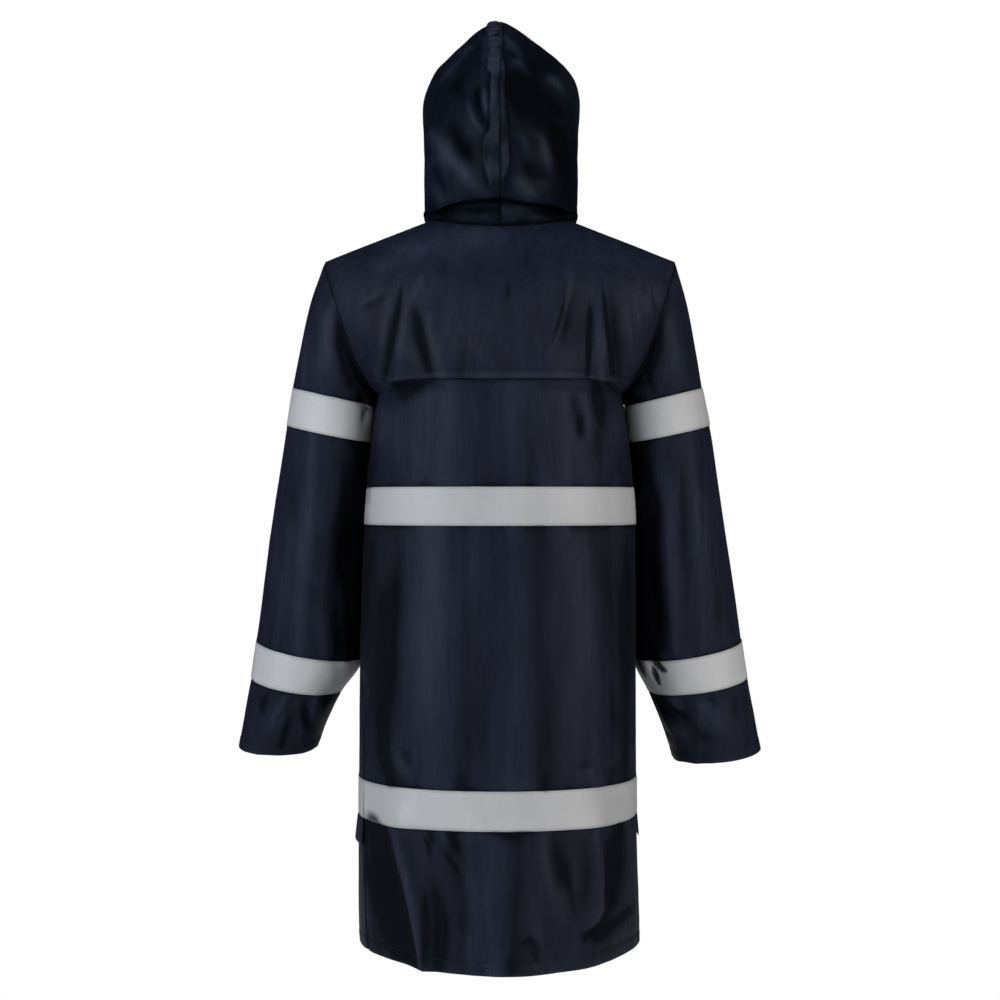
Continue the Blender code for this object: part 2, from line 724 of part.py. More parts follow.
def sleeve(side):
    rows = [sleeve_row(side, station) for station in SLEEVE_STATIONS]
    return Panel(f"sleeve_{side}", rows, sleeve_core, {"first_row": slice(None)}, ring=True)


def bow_point(bow, turn, side):
    """A point of a hood bow; turn is 0 at the centre front and pi at the centre seam."""
    reach = -math.cos(turn)
    share = (1 + reach) / 2
    y = blend(bow.front_y, bow.back_y, share)
    z = blend(bow.front_z, bow.back_z, share) + bow.side_lift * math.sin(turn) ** 2
    if reach <= 0:
        x = math.sqrt(max(1 - reach**2, 0))
    else:
        rounding = 2 + HOOD_FULLNESS[side].crown * bow.ridge
        x = max(1 - reach**rounding, 0) ** (1 / (2 - CROWN_BLUNTNESS * bow.ridge))
    return HOOD_FULLNESS[side].width * bow.half_width * x, y, z


def hood_core(points):
    return np.broadcast_to(HOOD_CORE, points.shape)


def hood(side):
    """Half of the hood: neck seam first, face opening last, centre front to centre seam."""
    mirror = 1 if side == "left" else -1
    neckline = []
    for face, order in (("front", range(NECK_COLUMNS)), ("back", range(NECK_COLUMNS, -1, -1))):
        for column in order:
            x, height = top_edge(column, face)
            away = 1 if face == "back" else -1
            neckline.append((mirror * x, away * body_depth(x, height, face, side), height))
    rows = [neckline]
    for bow in HOOD_BOWS:
        row = []
        for column in range(HOOD_COLUMNS + 1):
            turn = math.pi * column / HOOD_COLUMNS
            x, y, z = bow_point(bow, turn, side)
            row.append((mirror * x, y, z))
        rows.append(row)

    whole = slice(0, len(rows))
    sewn = {"first_row": slice(None), "first_column": whole, "last_column": whole}
    return Panel(f"hood_{side}", rows, hood_core, sewn)


def row_of(height):
    return BODY_HEIGHTS.index(height)


def body_tapes(panels):
    """The two tapes round the body, a piece for each panel that they are sewn to."""
    for name, top in (("tape_chest", CHEST_TAPE), ("tape_low", LOW_TAPE)):
        rows = slice(row_of(top - TAPE_WIDTH), row_of(top) + 1)
        add_overlay(f"{name}_back", panels["back_panel"], rows, slice(None), SILVER_TAPE)
        for side in ("left", "right"):
            panel = panels[f"front_{side}"]
            outer = panel.outer[rows, 1:].copy()
            way = panel.way_out[rows, 1:]
            outer[:, 0] += SEAM * unit(outer[:, 1] - outer[:, 0])
            high, low = outer + (LIFT + TAPE) * way, outer + LIFT * way
            add_wall(f"{name}_front_{side}", high, low, SILVER_TAPE, panel.inside_out)


def sleeve_tapes(panels):
    for side in ("left", "right"):
        panel = panels[f"sleeve_{side}"]
        for name, (first, last) in (("upper", UPPER_ARM_TAPE), ("lower", LOWER_ARM_TAPE)):
            rows = slice(SLEEVE_STATIONS.index(first), SLEEVE_STATIONS.index(last) + 1)
            add_overlay(f"tape_{name}_arm_{side}", panel, rows, slice(None), SILVER_TAPE)


def storm_flap(panels):
    """The strip over the closed fronts, and the tape pieces that cross it."""
    right, left = panels["front_right"], panels["front_left"]
    outer = np.stack((right.outer[:, 1], (right.outer[:, 0] + left.outer[:, 0]) / 2,
                      left.outer[:, 1]), axis=1)  # fmt: skip
    way = np.stack((right.way_out[:, 1], left.way_out[:, 0], left.way_out[:, 1]), axis=1)
    outer[-1] = blend(outer[-2], outer[-1], STORM_FLAP_TOP)
    high, low = outer + (LIFT + FLAP) * way, outer + LIFT * way
    add_wall("storm_flap", high, low, NAVY, left.inside_out)
    for name, top in (("tape_chest", CHEST_TAPE), ("tape_low", LOW_TAPE)):
        rows = slice(row_of(top - TAPE_WIDTH), row_of(top) + 1)
        tape_low = high[rows] + LIFT * way[rows]
        tape_high = high[rows] + (LIFT + TAPE) * way[rows]
        add_wall(f"{name}_flap", tape_high, tape_low, SILVER_TAPE, left.inside_out)
    return high, way


def press_studs(flap, way):
    """A row of studs down the flap's closing edge, each square to the flap under it."""
    heights = flap[:, 1, 2]
    for number in range(STUD_COUNT):
        height = FIRST_STUD - STUD_PITCH * number
        row = int(np.searchsorted(heights, height)) - 1
        up = (height - heights[row]) / (heights[row + 1] - heights[row])
        aside = STUD_X / -STORM_FLAP_HALF
        edge = blend(flap[row, 0], flap[row + 1, 0], up)
        middle = blend(flap[row, 1], flap[row + 1, 1], up)
        seat = blend(middle, edge, aside)
        rise = flap[row + 1, 1] - flap[row, 1]
        axis = unit(np.cross(rise, middle - edge))
        if axis[1] > 0:
            axis = -axis
        mesh = bpy.data.meshes.new(f"press_stud_{number + 1}")
        shape = bmesh.new()
        bmesh.ops.create_cone(shape, cap_ends=True, segments=STUD_SEGMENTS, radius1=STUD_RADIUS,
                              radius2=STUD_RADIUS * STUD_TAPER, depth=STUD_HEIGHT)  # fmt: skip
        turn = Vector((0, 0, 1)).rotation_difference(Vector(axis)).to_matrix().to_4x4()
        centre = Vector(seat + axis * (LIFT + STUD_HEIGHT / 2))
        bmesh.ops.transform(shape, matrix=Matrix.Translation(centre) @ turn, verts=shape.verts)
        shape.to_mesh(mesh)
        shape.free()
        stud = bpy.data.objects.new(mesh.name, mesh)
        garment.objects.link(stud)
        paint(stud, STUD_METAL)


def pocket_flaps(panels):
    """A flap on each front, sewn just under the low tape, whose lower edge stands away."""
    first, last = POCKET_FLAP_COLUMNS
    tape_row = row_of(LOW_TAPE - TAPE_WIDTH)
    for side in ("left", "right"):
        panel = panels[f"front_{side}"]
        pair = panel.outer[tape_row - 1 : tape_row + 1, first : last + 1]
        way = panel.way_out[tape_row - 1 : tape_row + 1, first : last + 1]
        seat = np.stack([blend(pair[0], pair[1], row.up) for row in POCKET_FLAP_ROWS])
        ways = np.stack([blend(way[0], way[1], row.up) for row in POCKET_FLAP_ROWS])
        stand = np.array([row.stand for row in POCKET_FLAP_ROWS])[:, None, None]
        low = seat + stand * ways
        high = low + FLAP * ways
        add_wall(f"pocket_flap_{side}", high, low, NAVY, panel.inside_out)


def clear_scene():
    for obj in list(bpy.data.objects):
        bpy.data.objects.remove(obj, do_unlink=True)


clear_scene()
garment = bpy.data.collections.new("Hooded raincoat")
bpy.context.scene.collection.children.link(garment)

pieces = [back_panel(), back_yoke()]
for wearer_side in ("left", "right"):
    pieces += [front(wearer_side), sleeve(wearer_side), hood(wearer_side)]
sew(pieces)
by_name = {piece.name: piece for piece in pieces}
for piece in pieces:
    add_panel(piece, NAVY_DEEP if piece.name.startswith("hood") else NAVY)
body_tapes(by_name)
sleeve_tapes(by_name)
pocket_flaps(by_name)
press_studs(*storm_flap(by_name))
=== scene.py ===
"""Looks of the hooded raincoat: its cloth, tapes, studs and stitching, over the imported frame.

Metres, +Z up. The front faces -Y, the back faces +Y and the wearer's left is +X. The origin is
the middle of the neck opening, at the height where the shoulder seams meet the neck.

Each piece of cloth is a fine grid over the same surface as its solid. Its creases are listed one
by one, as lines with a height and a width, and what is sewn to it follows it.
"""

import math
from collections import namedtuple
from copy import copy

import bpy
import numpy as np
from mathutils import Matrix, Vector


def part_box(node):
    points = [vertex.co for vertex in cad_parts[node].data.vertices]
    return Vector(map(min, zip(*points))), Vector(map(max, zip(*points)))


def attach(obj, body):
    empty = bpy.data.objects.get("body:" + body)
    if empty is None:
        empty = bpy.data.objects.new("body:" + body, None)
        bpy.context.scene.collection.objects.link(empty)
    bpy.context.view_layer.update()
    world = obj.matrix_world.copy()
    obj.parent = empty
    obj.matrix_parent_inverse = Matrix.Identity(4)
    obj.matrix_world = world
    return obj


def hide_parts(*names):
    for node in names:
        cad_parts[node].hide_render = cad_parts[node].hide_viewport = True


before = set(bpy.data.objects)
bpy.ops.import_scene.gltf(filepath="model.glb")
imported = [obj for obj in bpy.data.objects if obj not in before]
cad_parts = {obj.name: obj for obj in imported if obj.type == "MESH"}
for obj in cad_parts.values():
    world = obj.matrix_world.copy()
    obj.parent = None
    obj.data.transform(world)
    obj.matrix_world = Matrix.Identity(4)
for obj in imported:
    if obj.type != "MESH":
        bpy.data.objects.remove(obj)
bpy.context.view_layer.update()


def table(columns, *rows):
    """Rows of a table whose columns have names."""
    row = namedtuple("Row", columns)
    return [row(*values) for values in rows]


SIDES = ("left", "right")

# Cloth and trims
CLOTH = 0.0011
SEAM_CLOTH = 0.0004
TAPE = 0.0008
FLAP = 0.0014
LIFT = 0.0003
SHARP_EDGE = 50

# Seams, hems and stitches: how deep and wide a seam sinks, and how far in each hem is stitched
SEAM_GROOVE = 0.0009
CENTRE_SEAM_GROOVE = 0.0006
GROOVE_REACH = 0.0026
SEAM_REACH = 0.006
SEAM_GAP = 0.0035
BODY_HEM, YOKE_HEM, SLEEVE_HEM, HOOD_HEM = 0.016, 0.009, 0.015, 0.018
TAPE_STITCH_INSET = 0.0022
FLAP_STITCH_INSET = 0.005
SEAM_STITCH_INSET = 0.0035
NECK_STITCH_INSET = 0.004
TRIM_STITCH_LIFT = 0.00008
CLOTH_STITCH_LIFT = 0.00005

# Trims: how far their edges and their stitches draw down, and over what width
EDGE_ROLL, EDGE_ROLL_REACH = 0.0005, 0.0009
FLAP_EDGE_ROLL, FLAP_EDGE_ROLL_REACH = 0.0008, 0.0011
STITCH_DIP_REACH = 0.0011
FLAP_STITCH_DIP, FLAP_STITCH_DIP_REACH = 0.00035, 0.0012

# Beside a tape: how much it stills the cloth's folds, and how dark a line of painted shade runs
# round it
TAPE_STIFFNESS = 0.55
TAPE_EDGE_SHADE, TAPE_EDGE_SHADE_REACH = 0.75, 0.0025

# Which way x runs on each side of the coat
MIRROR = {"left": 1, "right": -1}

# Neck, shoulder and armhole
NECK_HALF = 0.098
NAPE_DROP = 0.016
FRONT_NECK_DROP = 0.075
FRONT_NECK_SCOOP = 0.8
SHOULDER_HALF = 0.238
SHOULDER_DROP = 0.055
ARMPIT_DROP = 0.235
ARMPIT_HALF = 0.166
ARMHOLE_DEPTH = 0.082
ARMHOLE_EGG = 0.15
ARMHOLE_LEAN = 0.75
ARMHOLE_MIDDLE = -(ARMPIT_DROP + SHOULDER_DROP) / 2
ARMHOLE_HALF = (ARMPIT_DROP - SHOULDER_DROP) / 2
BODY_CORE_TOP = -0.200

# Columns run from the middle of a face to its side seam, rows from hem to armpit to shoulder
NECK_COLUMNS = 6
SHOULDER_COLUMNS = 7
COLUMNS = NECK_COLUMNS + SHOULDER_COLUMNS
ARMHOLE_ROWS = 12
SLEEVE_POINTS = 2 * ARMHOLE_ROWS
HOOD_COLUMNS = 2 * NECK_COLUMNS

# Tapes: height of each upper edge
TAPE_WIDTH = 0.050
CHEST_TAPE = -0.360
LOW_TAPE = -0.747
BODY_TAPES = {"tape_chest": CHEST_TAPE, "tape_low": LOW_TAPE}

# Back yoke: a cape whose lower edge hangs free over the back panel
YOKE_ROW = 2
YOKE_EDGE_SHARE = 0.0612
YOKE_FLARE = 0.005
UNDERLAP_ROWS = 4
UNDERLAP_DEPTH = 0.0030
UNDERLAP_INSET = 0.004
YOKE_FLARE_SHARES = (1.0, 0.62, 0.3, 0.1, 0.0)

# Front closing
STORM_FLAP_HALF = 0.0325
STORM_FLAP_TOP = 0.85
STUD_COUNT = 7
STUD_RADIUS = 0.0075
STUD_CAP = 0.0011
STUD_RIM = 0.00045
STUD_LIFT = 0.0006

# Pocket flaps: heights from the free edge to the sewn one, and how far each stands off
POCKET_FLAP_ROWS = table(
    "height stand",
    (-0.8331, 0.003), (-0.816, 0.0019), (-0.7987, LIFT),
)
POCKET_FLAP_COLUMN = 5

HALF_WIDTHS = table(
    "height left right",
    (-0.972, 0.19, 0.189), (-0.95, 0.1914, 0.189), (-0.914, 0.1918, 0.1877),
    (-0.797, 0.1908, 0.1845), (-0.6, 0.1895, 0.1838), (-0.46, 0.1863, 0.1836),
    (-0.41, 0.1835, 0.1832), (-0.335, 0.178, 0.1785), (-0.2955, 0.1738, 0.1742),
    (-0.265, 0.17, 0.17), (-ARMPIT_DROP, ARMPIT_HALF, ARMPIT_HALF),
)

# Exponent of the body's section: squarer than an ellipse at the hips, less so at the hem
ROUNDNESS = table(
    "height power",
    (-0.972, 1.75), (-0.8, 2.25), (-0.6, 2.3), (-0.2, 2.3), (-0.1, 2), (0, 2),
)

# How far round the back the left side seam runs, in degrees of the section
LEFT_SEAM_SWING = table(
    "height degrees",
    (-0.972, 22), (-0.7, 20), (-0.46, 0), (-ARMPIT_DROP, 0),
)

CENTRE_DEPTHS = table(
    "height back front",
    (-0.972, 0.214, 0.2), (-0.88, 0.196, 0.192), (-0.775, 0.178, 0.182), (-0.6, 0.166, 0.172),
    (-0.45, 0.16, 0.165), (-0.385, 0.158, 0.162), (-ARMPIT_DROP, 0.157, 0.155), (-0.2, 0.158, 0.15),
    (-0.15, 0.15, 0.14), (-0.1, 0.135, 0.121), (-0.06, 0.111, 0.098), (-0.016, 0.085, 0.064),
    (0, 0.07, 0.05),
)
HEM = -0.972

# Stations along a sleeve: its outer and inner lines, half depth and forward lean in degrees
SLEEVE_RINGS = table(
    "outer_x outer_y outer_z inner_x inner_y inner_z depth lean",
    (0.238, 0, -0.055, 0.166, 0, -0.235, 0.082, 0),
    (0.258, -0.003, -0.112, 0.1685, -0.001, -0.2395, 0.0805, 0),
    (0.2712, -0.006, -0.17, 0.171, -0.008, -0.244, 0.0795, 1),
    (0.2822, -0.01, -0.224, 0.174, -0.02, -0.249, 0.0785, 2),
    (0.2905, -0.015, -0.275, 0.1795, -0.035, -0.2965, 0.078, 3),
    (0.305, -0.023, -0.36, 0.1865, -0.045, -0.38, 0.076, 4),
    (0.317, -0.032, -0.43, 0.1895, -0.05, -0.45, 0.0735, 5),
    (0.327, -0.042, -0.5, 0.191, -0.055, -0.52, 0.071, 6),
    (0.3368, -0.05, -0.571, 0.193, -0.06, -0.5946, 0.067, 7),
    (0.345, -0.056, -0.621, 0.2198, -0.06, -0.64, 0.062, 8),
    (0.356, -0.062, -0.68, 0.241, -0.062, -0.685, 0.056, 9),
    (0.364, -0.066, -0.718, 0.254, -0.066, -0.718, 0.05, 10),
)
RIGHT_SHIFTS = table(
    "outer_x outer_z inner_x inner_z",
    (0, 0, 0, 0), (-0.0042, 0, 0, 0), (-0.006, 0, 0, 0), (-0.0063, 0, 0, 0), (-0.0038, 0, 0, 0),
    (-0.0052, 0, 0, 0), (-0.0058, 0, -0.001, 0), (-0.0038, 0, -0.0028, 0), (-0.0028, 0, -0.005, 0),
    (-0.0026, 0, -0.0139, 0), (-0.0017, 0, -0.0149, -0.005), (-0.0015, -0.0034, -0.0135, -0.016),
)
STATION_LENGTH = 0.065
EGG_STATIONS = 4
LAST_STATION = 11
ARM_TAPES = {"tape_upper_arm": (3, 4), "tape_lower_arm": (8, 9)}

# Hood: how full each half is, and how square its crown is to the centre seam
HOOD_FULLNESS = dict(zip(SIDES, table("width crown", (1.0, 1.0), (1.025, 1.4))))
CROWN_BLUNTNESS = 0.7
HOOD_CORE = (0.0, 0.0, 0.080)
ABOVE_TUCK = 3.3

# Hood bows: arches from the centre front, round one side, to the centre seam behind
HOOD_BOWS = table(
    "front_y front_z back_y back_z half_width ridge side_lift",
    (-0.106, -0.07, 0.09, -0.002, 0.1012, 0, 0.041),
    (-0.107, -0.066, 0.093, 0.013, 0.1022, 0, 0.035),
    (-0.1075, -0.063, 0.113, 0.0165, 0.1025, 0, 0.0345),
    (-0.108, -0.06, 0.1205, 0.036, 0.1022, 0, 0.029),
    (-0.109, -0.057, 0.124, 0.07, 0.1025, 0.1, 0.019),
    (-0.11, -0.054, 0.124, 0.11, 0.1025, 0.3, 0.01),
    (-0.111, -0.051, 0.116, 0.152, 0.1025, 0.6, 0.005),
    (-0.112, -0.048, 0.098, 0.195, 0.1025, 0.85, 0.002),
    (-0.113, -0.046, 0.068, 0.236, 0.1025, 1, 0), (-0.114, -0.044, 0.03, 0.263, 0.105, 1, 0),
    (-0.115, -0.042, -0.01, 0.275, 0.106, 1, 0), (-0.116, -0.04, -0.05, 0.275, 0.104, 1, 0),
    (-0.117, -0.037, -0.085, 0.268, 0.0975, 0.8, 0), (-0.118, -0.035, -0.115, 0.255, 0.086, 0.5, 0),
)

# Main folds, as in the solids
BODY_FOLDS = table(
    "face x0 z0 x1 z1 width rise",
    ("back", 0.102, -0.083, 0.117, -0.13, 0.02, 0.0015),
    ("back", 0.135, -0.105, 0.15, -0.205, 0.02, -0.0018),
    ("back", 0.112, -0.125, 0.089, -0.205, 0.018, -0.0014),
    ("back", -0.09, -0.08, -0.058, -0.195, 0.022, 0.0014),
    ("back", -0.122, -0.11, -0.116, -0.205, 0.02, -0.0018),
    ("back", -0.136, -0.09, -0.15, -0.2, 0.02, 0.0015),
    ("back", 0.138, -0.8, 0.104, -0.975, 0.03, 0.011),
    ("back", 0.16, -0.85, 0.142, -0.975, 0.022, -0.007),
    ("back", -0.13, -0.81, -0.112, -0.975, 0.03, 0.009),
    ("back", -0.02, -0.85, -0.034, -0.975, 0.034, 0.005),
    ("front", 0.11, -0.1, 0.092, -0.21, 0.024, 0.004),
    ("front", -0.118, -0.12, -0.102, -0.24, 0.024, -0.004),
    ("front", 0.096, -0.84, 0.118, -0.975, 0.03, 0.009),
    ("front", -0.11, -0.85, -0.128, -0.975, 0.032, 0.01),
)

# Main folds round a sleeve, as (station, angle) ends; 0 degrees is the inner line, 90 the back
SLEEVE_FOLDS = table(
    "sleeve s0 angle0 s1 angle1 width rise",
    ("left", 4.4, 55, 5.6, 95, 0.022, 0.004), ("left", 5.6, 50, 7, 70, 0.022, -0.004),
    ("left", 6.2, 300, 7.6, 270, 0.024, 0.004), ("left", 9.4, 55, 10.8, 50, 0.016, 0.003),
    ("right", 4.4, 60, 5.4, 100, 0.022, 0.004), ("right", 5.8, 55, 7.2, 80, 0.022, 0.004),
    ("right", 6.4, 305, 7.8, 275, 0.024, -0.004), ("right", 9.3, 40, 10.7, 45, 0.018, 0.003),
)

# How much the hood's sides draw in at each height, and how far its tucked back hangs at the sides
HOOD_TRIM = {
    "left": ((0.132, 1.0), (0.152, 1.015), (0.172, 1.03), (0.192, 1.02), (0.211, 1.0),
             (0.222, 0.945), (0.236, 0.90), (0.247, 0.865), (0.257, 0.91), (0.269, 1.0)),
    "right": ((0.132, 1.0), (0.152, 1.018), (0.172, 1.037), (0.192, 1.045), (0.211, 1.0),
              (0.222, 0.95), (0.236, 0.853), (0.247, 0.776), (0.257, 0.72), (0.269, 0.69)),
}
TUCK_SHARE = (0.0, 0.30, 0.65, 1.0, 0.70, 0.35, 0.0)
TUCK_DROP = {
    "left": ((0.0, 0.0), (0.039, 0.004), (0.073, 0.012), (0.091, 0.017), (0.102, 0.016)),
    "right": ((0.0, 0.0), (0.040, 0.007), (0.075, 0.013), (0.090, 0.016), (0.105, 0.016)),
}
# Half widths of the gathered band along the hood's centre seam
BAND_WIDTH = {
    "left": ((0.030, 0.013), (0.045, 0.018), (0.068, 0.025), (0.087, 0.022), (0.107, 0.015),
             (0.135, 0.013), (0.178, 0.013), (0.190, 0.018), (0.210, 0.014), (0.235, 0.017),
             (0.255, 0.021), (0.270, 0.019)),
    "right": ((0.030, 0.004), (0.068, 0.014), (0.087, 0.013), (0.107, 0.011), (0.135, 0.008),
              (0.178, 0.008), (0.200, 0.005), (0.210, 0.0035), (0.235, 0.003), (0.270, 0.003)),
}
# How far the inside of each sleeve sits nearer to the body than its solid
SLEEVE_NEARER = ((0, 0), (0.5, 0.0009), (1, 0.0015), (1.5, 0.0029), (2, 0.0040), (3, 0.0042),
                 (3.5, 0.0036), (4, 0.0026), (5, 0.0022), (6, 0.0028), (7, 0.0028), (8, 0.0012),
                 (8.5, 0), (11, 0))


def spline(keys, values, at):
    """Values of a table at given keys, on a smooth curve that never overshoots."""
    keys, values = np.asarray(keys, float), np.asarray(values, float)
    steps = np.diff(values) / np.diff(keys)
    product = steps[:-1] * steps[1:]
    total = np.where(product > 0, steps[:-1] + steps[1:], 1)
    inner = np.where(product > 0, 2 * product / total, 0)
    slopes = np.concatenate((steps[:1], inner, steps[-1:]))
    i = np.clip(np.searchsorted(keys, at) - 1, 0, len(keys) - 2)
    width = keys[i + 1] - keys[i]
    t = np.clip((at - keys[i]) / width, 0, 1)
    return (
        (2 * t**3 - 3 * t**2 + 1) * values[i]
        + (t**3 - 2 * t**2 + t) * width * slopes[i]
        + (3 * t**2 - 2 * t**3) * values[i + 1]
        + (t**3 - t**2) * width * slopes[i + 1]
    )


def at_height(table, height, column):
    return spline([row.height for row in table], [getattr(row, column) for row in table], height)


def at_stations(table, station):
    """Every column of a table whose rows are numbered from nought."""
    rows = np.array(table, float)
    return [spline(range(len(rows)), column, station) for column in rows.T]


def blend(a, b, share):
    return a + (b - a) * share


def smooth(low, high, value):
    t = np.clip((value - low) / (high - low), 0, 1)
    return t * t * (3 - 2 * t)


def bell(gap, reach):
    """One at no gap, falling away smoothly past the reach."""
    return np.exp(-((gap / reach) ** 2))


def unit(vectors):
    lengths = np.linalg.norm(vectors, axis=-1, keepdims=True)
    return vectors / np.maximum(lengths, 1e-12)


def stack(*values):
    return np.stack(values, axis=-1)


def soft_noise(points, cell, seed):
    """A smooth random field from -1 to 1, with a knot every cell metres along each axis.

    Each caller shifts its points by an amount of its own, so that no two fields look alike.
    """
    lattice = np.random.default_rng(seed).uniform(-1, 1, (31, 31, 31))
    place = np.asarray(points) / np.asarray(cell)
    low = np.floor(place).astype(int)
    part = place - low
    part = part * part * (3 - 2 * part)
    total = np.zeros(place.shape[:-1])
    for corner in np.ndindex(2, 2, 2):
        knot = (low + corner) % 31
        weight = np.prod(np.where(corner, part, 1 - part), axis=-1)
        total += weight * lattice[knot[..., 0], knot[..., 1], knot[..., 2]]
    return total


def fold_rise(x, y, x0, y0, x1, y1, width, rise):
    """Height of a fold that runs straight between two points."""
    run_x, run_y, to_x, to_y = x1 - x0, y1 - y0, x - x0, y - y0
    along = np.clip((to_x * run_x + to_y * run_y) / (run_x**2 + run_y**2), 0, 1)
    return rise * bell(np.hypot(to_x - along * run_x, to_y - along * run_y), width)


# ---- the surface of the body ----


def armhole_point(turn):
    """Points of the left armhole; turn is 0 at the armpit, pi at the shoulder, back side first."""
    height = ARMHOLE_MIDDLE - ARMHOLE_HALF * np.cos(turn)
    climb = np.maximum((height + ARMPIT_DROP) / (2 * ARMHOLE_HALF), 0)
    x = blend(ARMPIT_HALF, SHOULDER_HALF, climb**ARMHOLE_LEAN)
    return stack(x, ARMHOLE_DEPTH * np.sin(turn) * (1 + ARMHOLE_EGG * np.cos(turn)), height)


def roundness(height):
    return at_height(ROUNDNESS, height, "power")


def section_half_width(height, face, side):
    """Half-width at which a level section of the body would close."""
    edge = armhole_point(np.arccos(np.clip((ARMHOLE_MIDDLE - height) / ARMHOLE_HALF, -1, 1)))
    power = roundness(height)
    open_share = np.abs(edge[..., 1]) / at_height(CENTRE_DEPTHS, height, face)
    width = edge[..., 0] / (1 - np.minimum(open_share, 0.99) ** power) ** (1 / power)
    yoke = blend(NECK_HALF, SHOULDER_HALF, -height / SHOULDER_DROP)
    width = np.where(height >= -SHOULDER_DROP, yoke, width)
    return np.where(height <= -ARMPIT_DROP, at_height(HALF_WIDTHS, height, side), width)


def body_depth(x, height, face, side):
    power = roundness(height)
    across = np.minimum(np.abs(x) / section_half_width(height, face, side), 1)
    depth = at_height(CENTRE_DEPTHS, height, face) * (1 - across**power) ** (1 / power)
    return np.where(across > 1 - 1e-6, 0, depth)


def top_edge(column, face):
    """Half-width and height of a column's end, on the neckline and then on the shoulder seam."""
    shoulder = blend(NECK_HALF, SHOULDER_HALF, (column - NECK_COLUMNS) / SHOULDER_COLUMNS)
    if face == "back":
        neck = NECK_HALF * np.sin(math.pi / 2 * np.minimum(column / NECK_COLUMNS, 1))
    else:
        flap_turn = math.asin(STORM_FLAP_HALF / NECK_HALF)
        share = np.clip((column - 1) / (NECK_COLUMNS - 1), 0, 1)
        neck = NECK_HALF * np.sin(blend(flap_turn, math.pi / 2, share))
        neck = np.where(column < 1, STORM_FLAP_HALF * column, neck)
    x = np.where(column > NECK_COLUMNS, shoulder, neck)
    drop, scoop = (NAPE_DROP, 1) if face == "back" else (FRONT_NECK_DROP, FRONT_NECK_SCOOP)
    dip = -drop * np.maximum(1 - (x / NECK_HALF) ** 2, 0) ** scoop
    slope = -SHOULDER_DROP * (x - NECK_HALF) / (SHOULDER_HALF - NECK_HALF)
    return x, np.where(x >= NECK_HALF, slope, dip)


def column_turn(column, height, face, side):
    """Angle round the section, from the middle of a face, at which a column runs."""
    swing = np.radians(at_height(LEFT_SEAM_SWING, height, "degrees")) if side == "left" else 0.0
    last = math.pi / 2 + (swing if face == "front" else -swing)
    if face == "back":
        return last * column / COLUMNS
    width = section_half_width(height, face, side)
    power = roundness(height)
    flap_turn = np.arcsin((STORM_FLAP_HALF / width) ** (power / 2))
    turn = blend(flap_turn, last, (column - 1) / (COLUMNS - 1))
    under_flap = np.arcsin((STORM_FLAP_HALF * np.minimum(column, 1) / width) ** (power / 2))
    return np.where(column < 1, under_flap, turn)


def body_point(column, x, depth, height, face, side, fade=1.0):
    """A point on the body, with its folds, which die out towards the side seam."""
    x = MIRROR[side] * x
    lift = sum(fold_rise(x, height, *fold[1:]) for fold in BODY_FOLDS if fold.face == face)
    lift = lift * fade * (1 - (column / COLUMNS) ** 4)
    return stack(x, (1 if face == "back" else -1) * (depth + lift), height + 0 * x)


def lower_points(heights, columns, face, side):
    """Points from the middle to the side seam, below the armpit."""
    height, column = np.meshgrid(heights, columns, indexing="ij")
    share = 2 / roundness(height)
    turn = column_turn(column, height, face, side)
    x = section_half_width(height, face, side) * np.abs(np.sin(turn)) ** share
    centre = np.where(
        turn <= math.pi / 2,
        at_height(CENTRE_DEPTHS, height, face),
        -at_height(CENTRE_DEPTHS, height, "back"),
    )
    return body_point(column, x, centre * np.abs(np.cos(turn)) ** share, height, face, side)


def upper_points(indexes, columns, face, side):
    """Points from the middle to the armhole, above the armpit; index 12 is the shoulder seam."""
    index, column = np.meshgrid(indexes, columns, indexing="ij")
    turn = math.pi * index / ARMHOLE_ROWS
    edge_x, edge_y, edge_height = np.moveaxis(armhole_point(turn), -1, 0)
    edge_share = (1 - np.cos(turn)) / 2
    middle_share = index / ARMHOLE_ROWS
    if face == "back":
        past_edge = (index - YOKE_ROW) / (ARMHOLE_ROWS - YOKE_ROW)
        middle_share = np.where(index < YOKE_ROW, YOKE_EDGE_SHARE * index / YOKE_ROW,
                                blend(YOKE_EDGE_SHARE, 1, past_edge))
    power = roundness(edge_height)
    width = section_half_width(edge_height, face, side)
    last_turn = np.arcsin(np.minimum(edge_x / width, 1) ** (power / 2))

    def place(column):
        top_x, top_z = top_edge(column, face)
        share = blend(middle_share, edge_share, np.minimum(top_x / NECK_HALF, 1))
        if face == "back":
            spread = np.sin(last_turn * column / COLUMNS) ** (2 / power)
            spread = spread / np.sin(last_turn) ** (2 / power)
        else:
            below = column_turn(column, np.full_like(column, -ARMPIT_DROP), face, side)
            spread = np.sin(below) ** (2 / roundness(-ARMPIT_DROP))
        x = blend(edge_x * spread, top_x, (index / ARMHOLE_ROWS) ** 2)
        return x, blend(-ARMPIT_DROP, top_z, share)

    x, height = place(column)
    if face == "front":
        over = np.where(column < 1, column, np.clip(2 - column, 0, 1))
        x = x - (place(np.ones_like(column))[0] - STORM_FLAP_HALF) * over
    last_x, last_height = place(np.full_like(column, COLUMNS))
    near = smooth(COLUMNS - 4, COLUMNS, column)
    x = x + (edge_x - last_x) * near
    height = height + (edge_height - last_height) * near
    depth = np.where(column >= COLUMNS, np.abs(edge_y), body_depth(x, height, face, side))
    return body_point(column, x, depth, height, face, side, smooth(0, 1.5, ARMHOLE_ROWS - index))


# ---- the surfaces of the sleeves and the hood ----


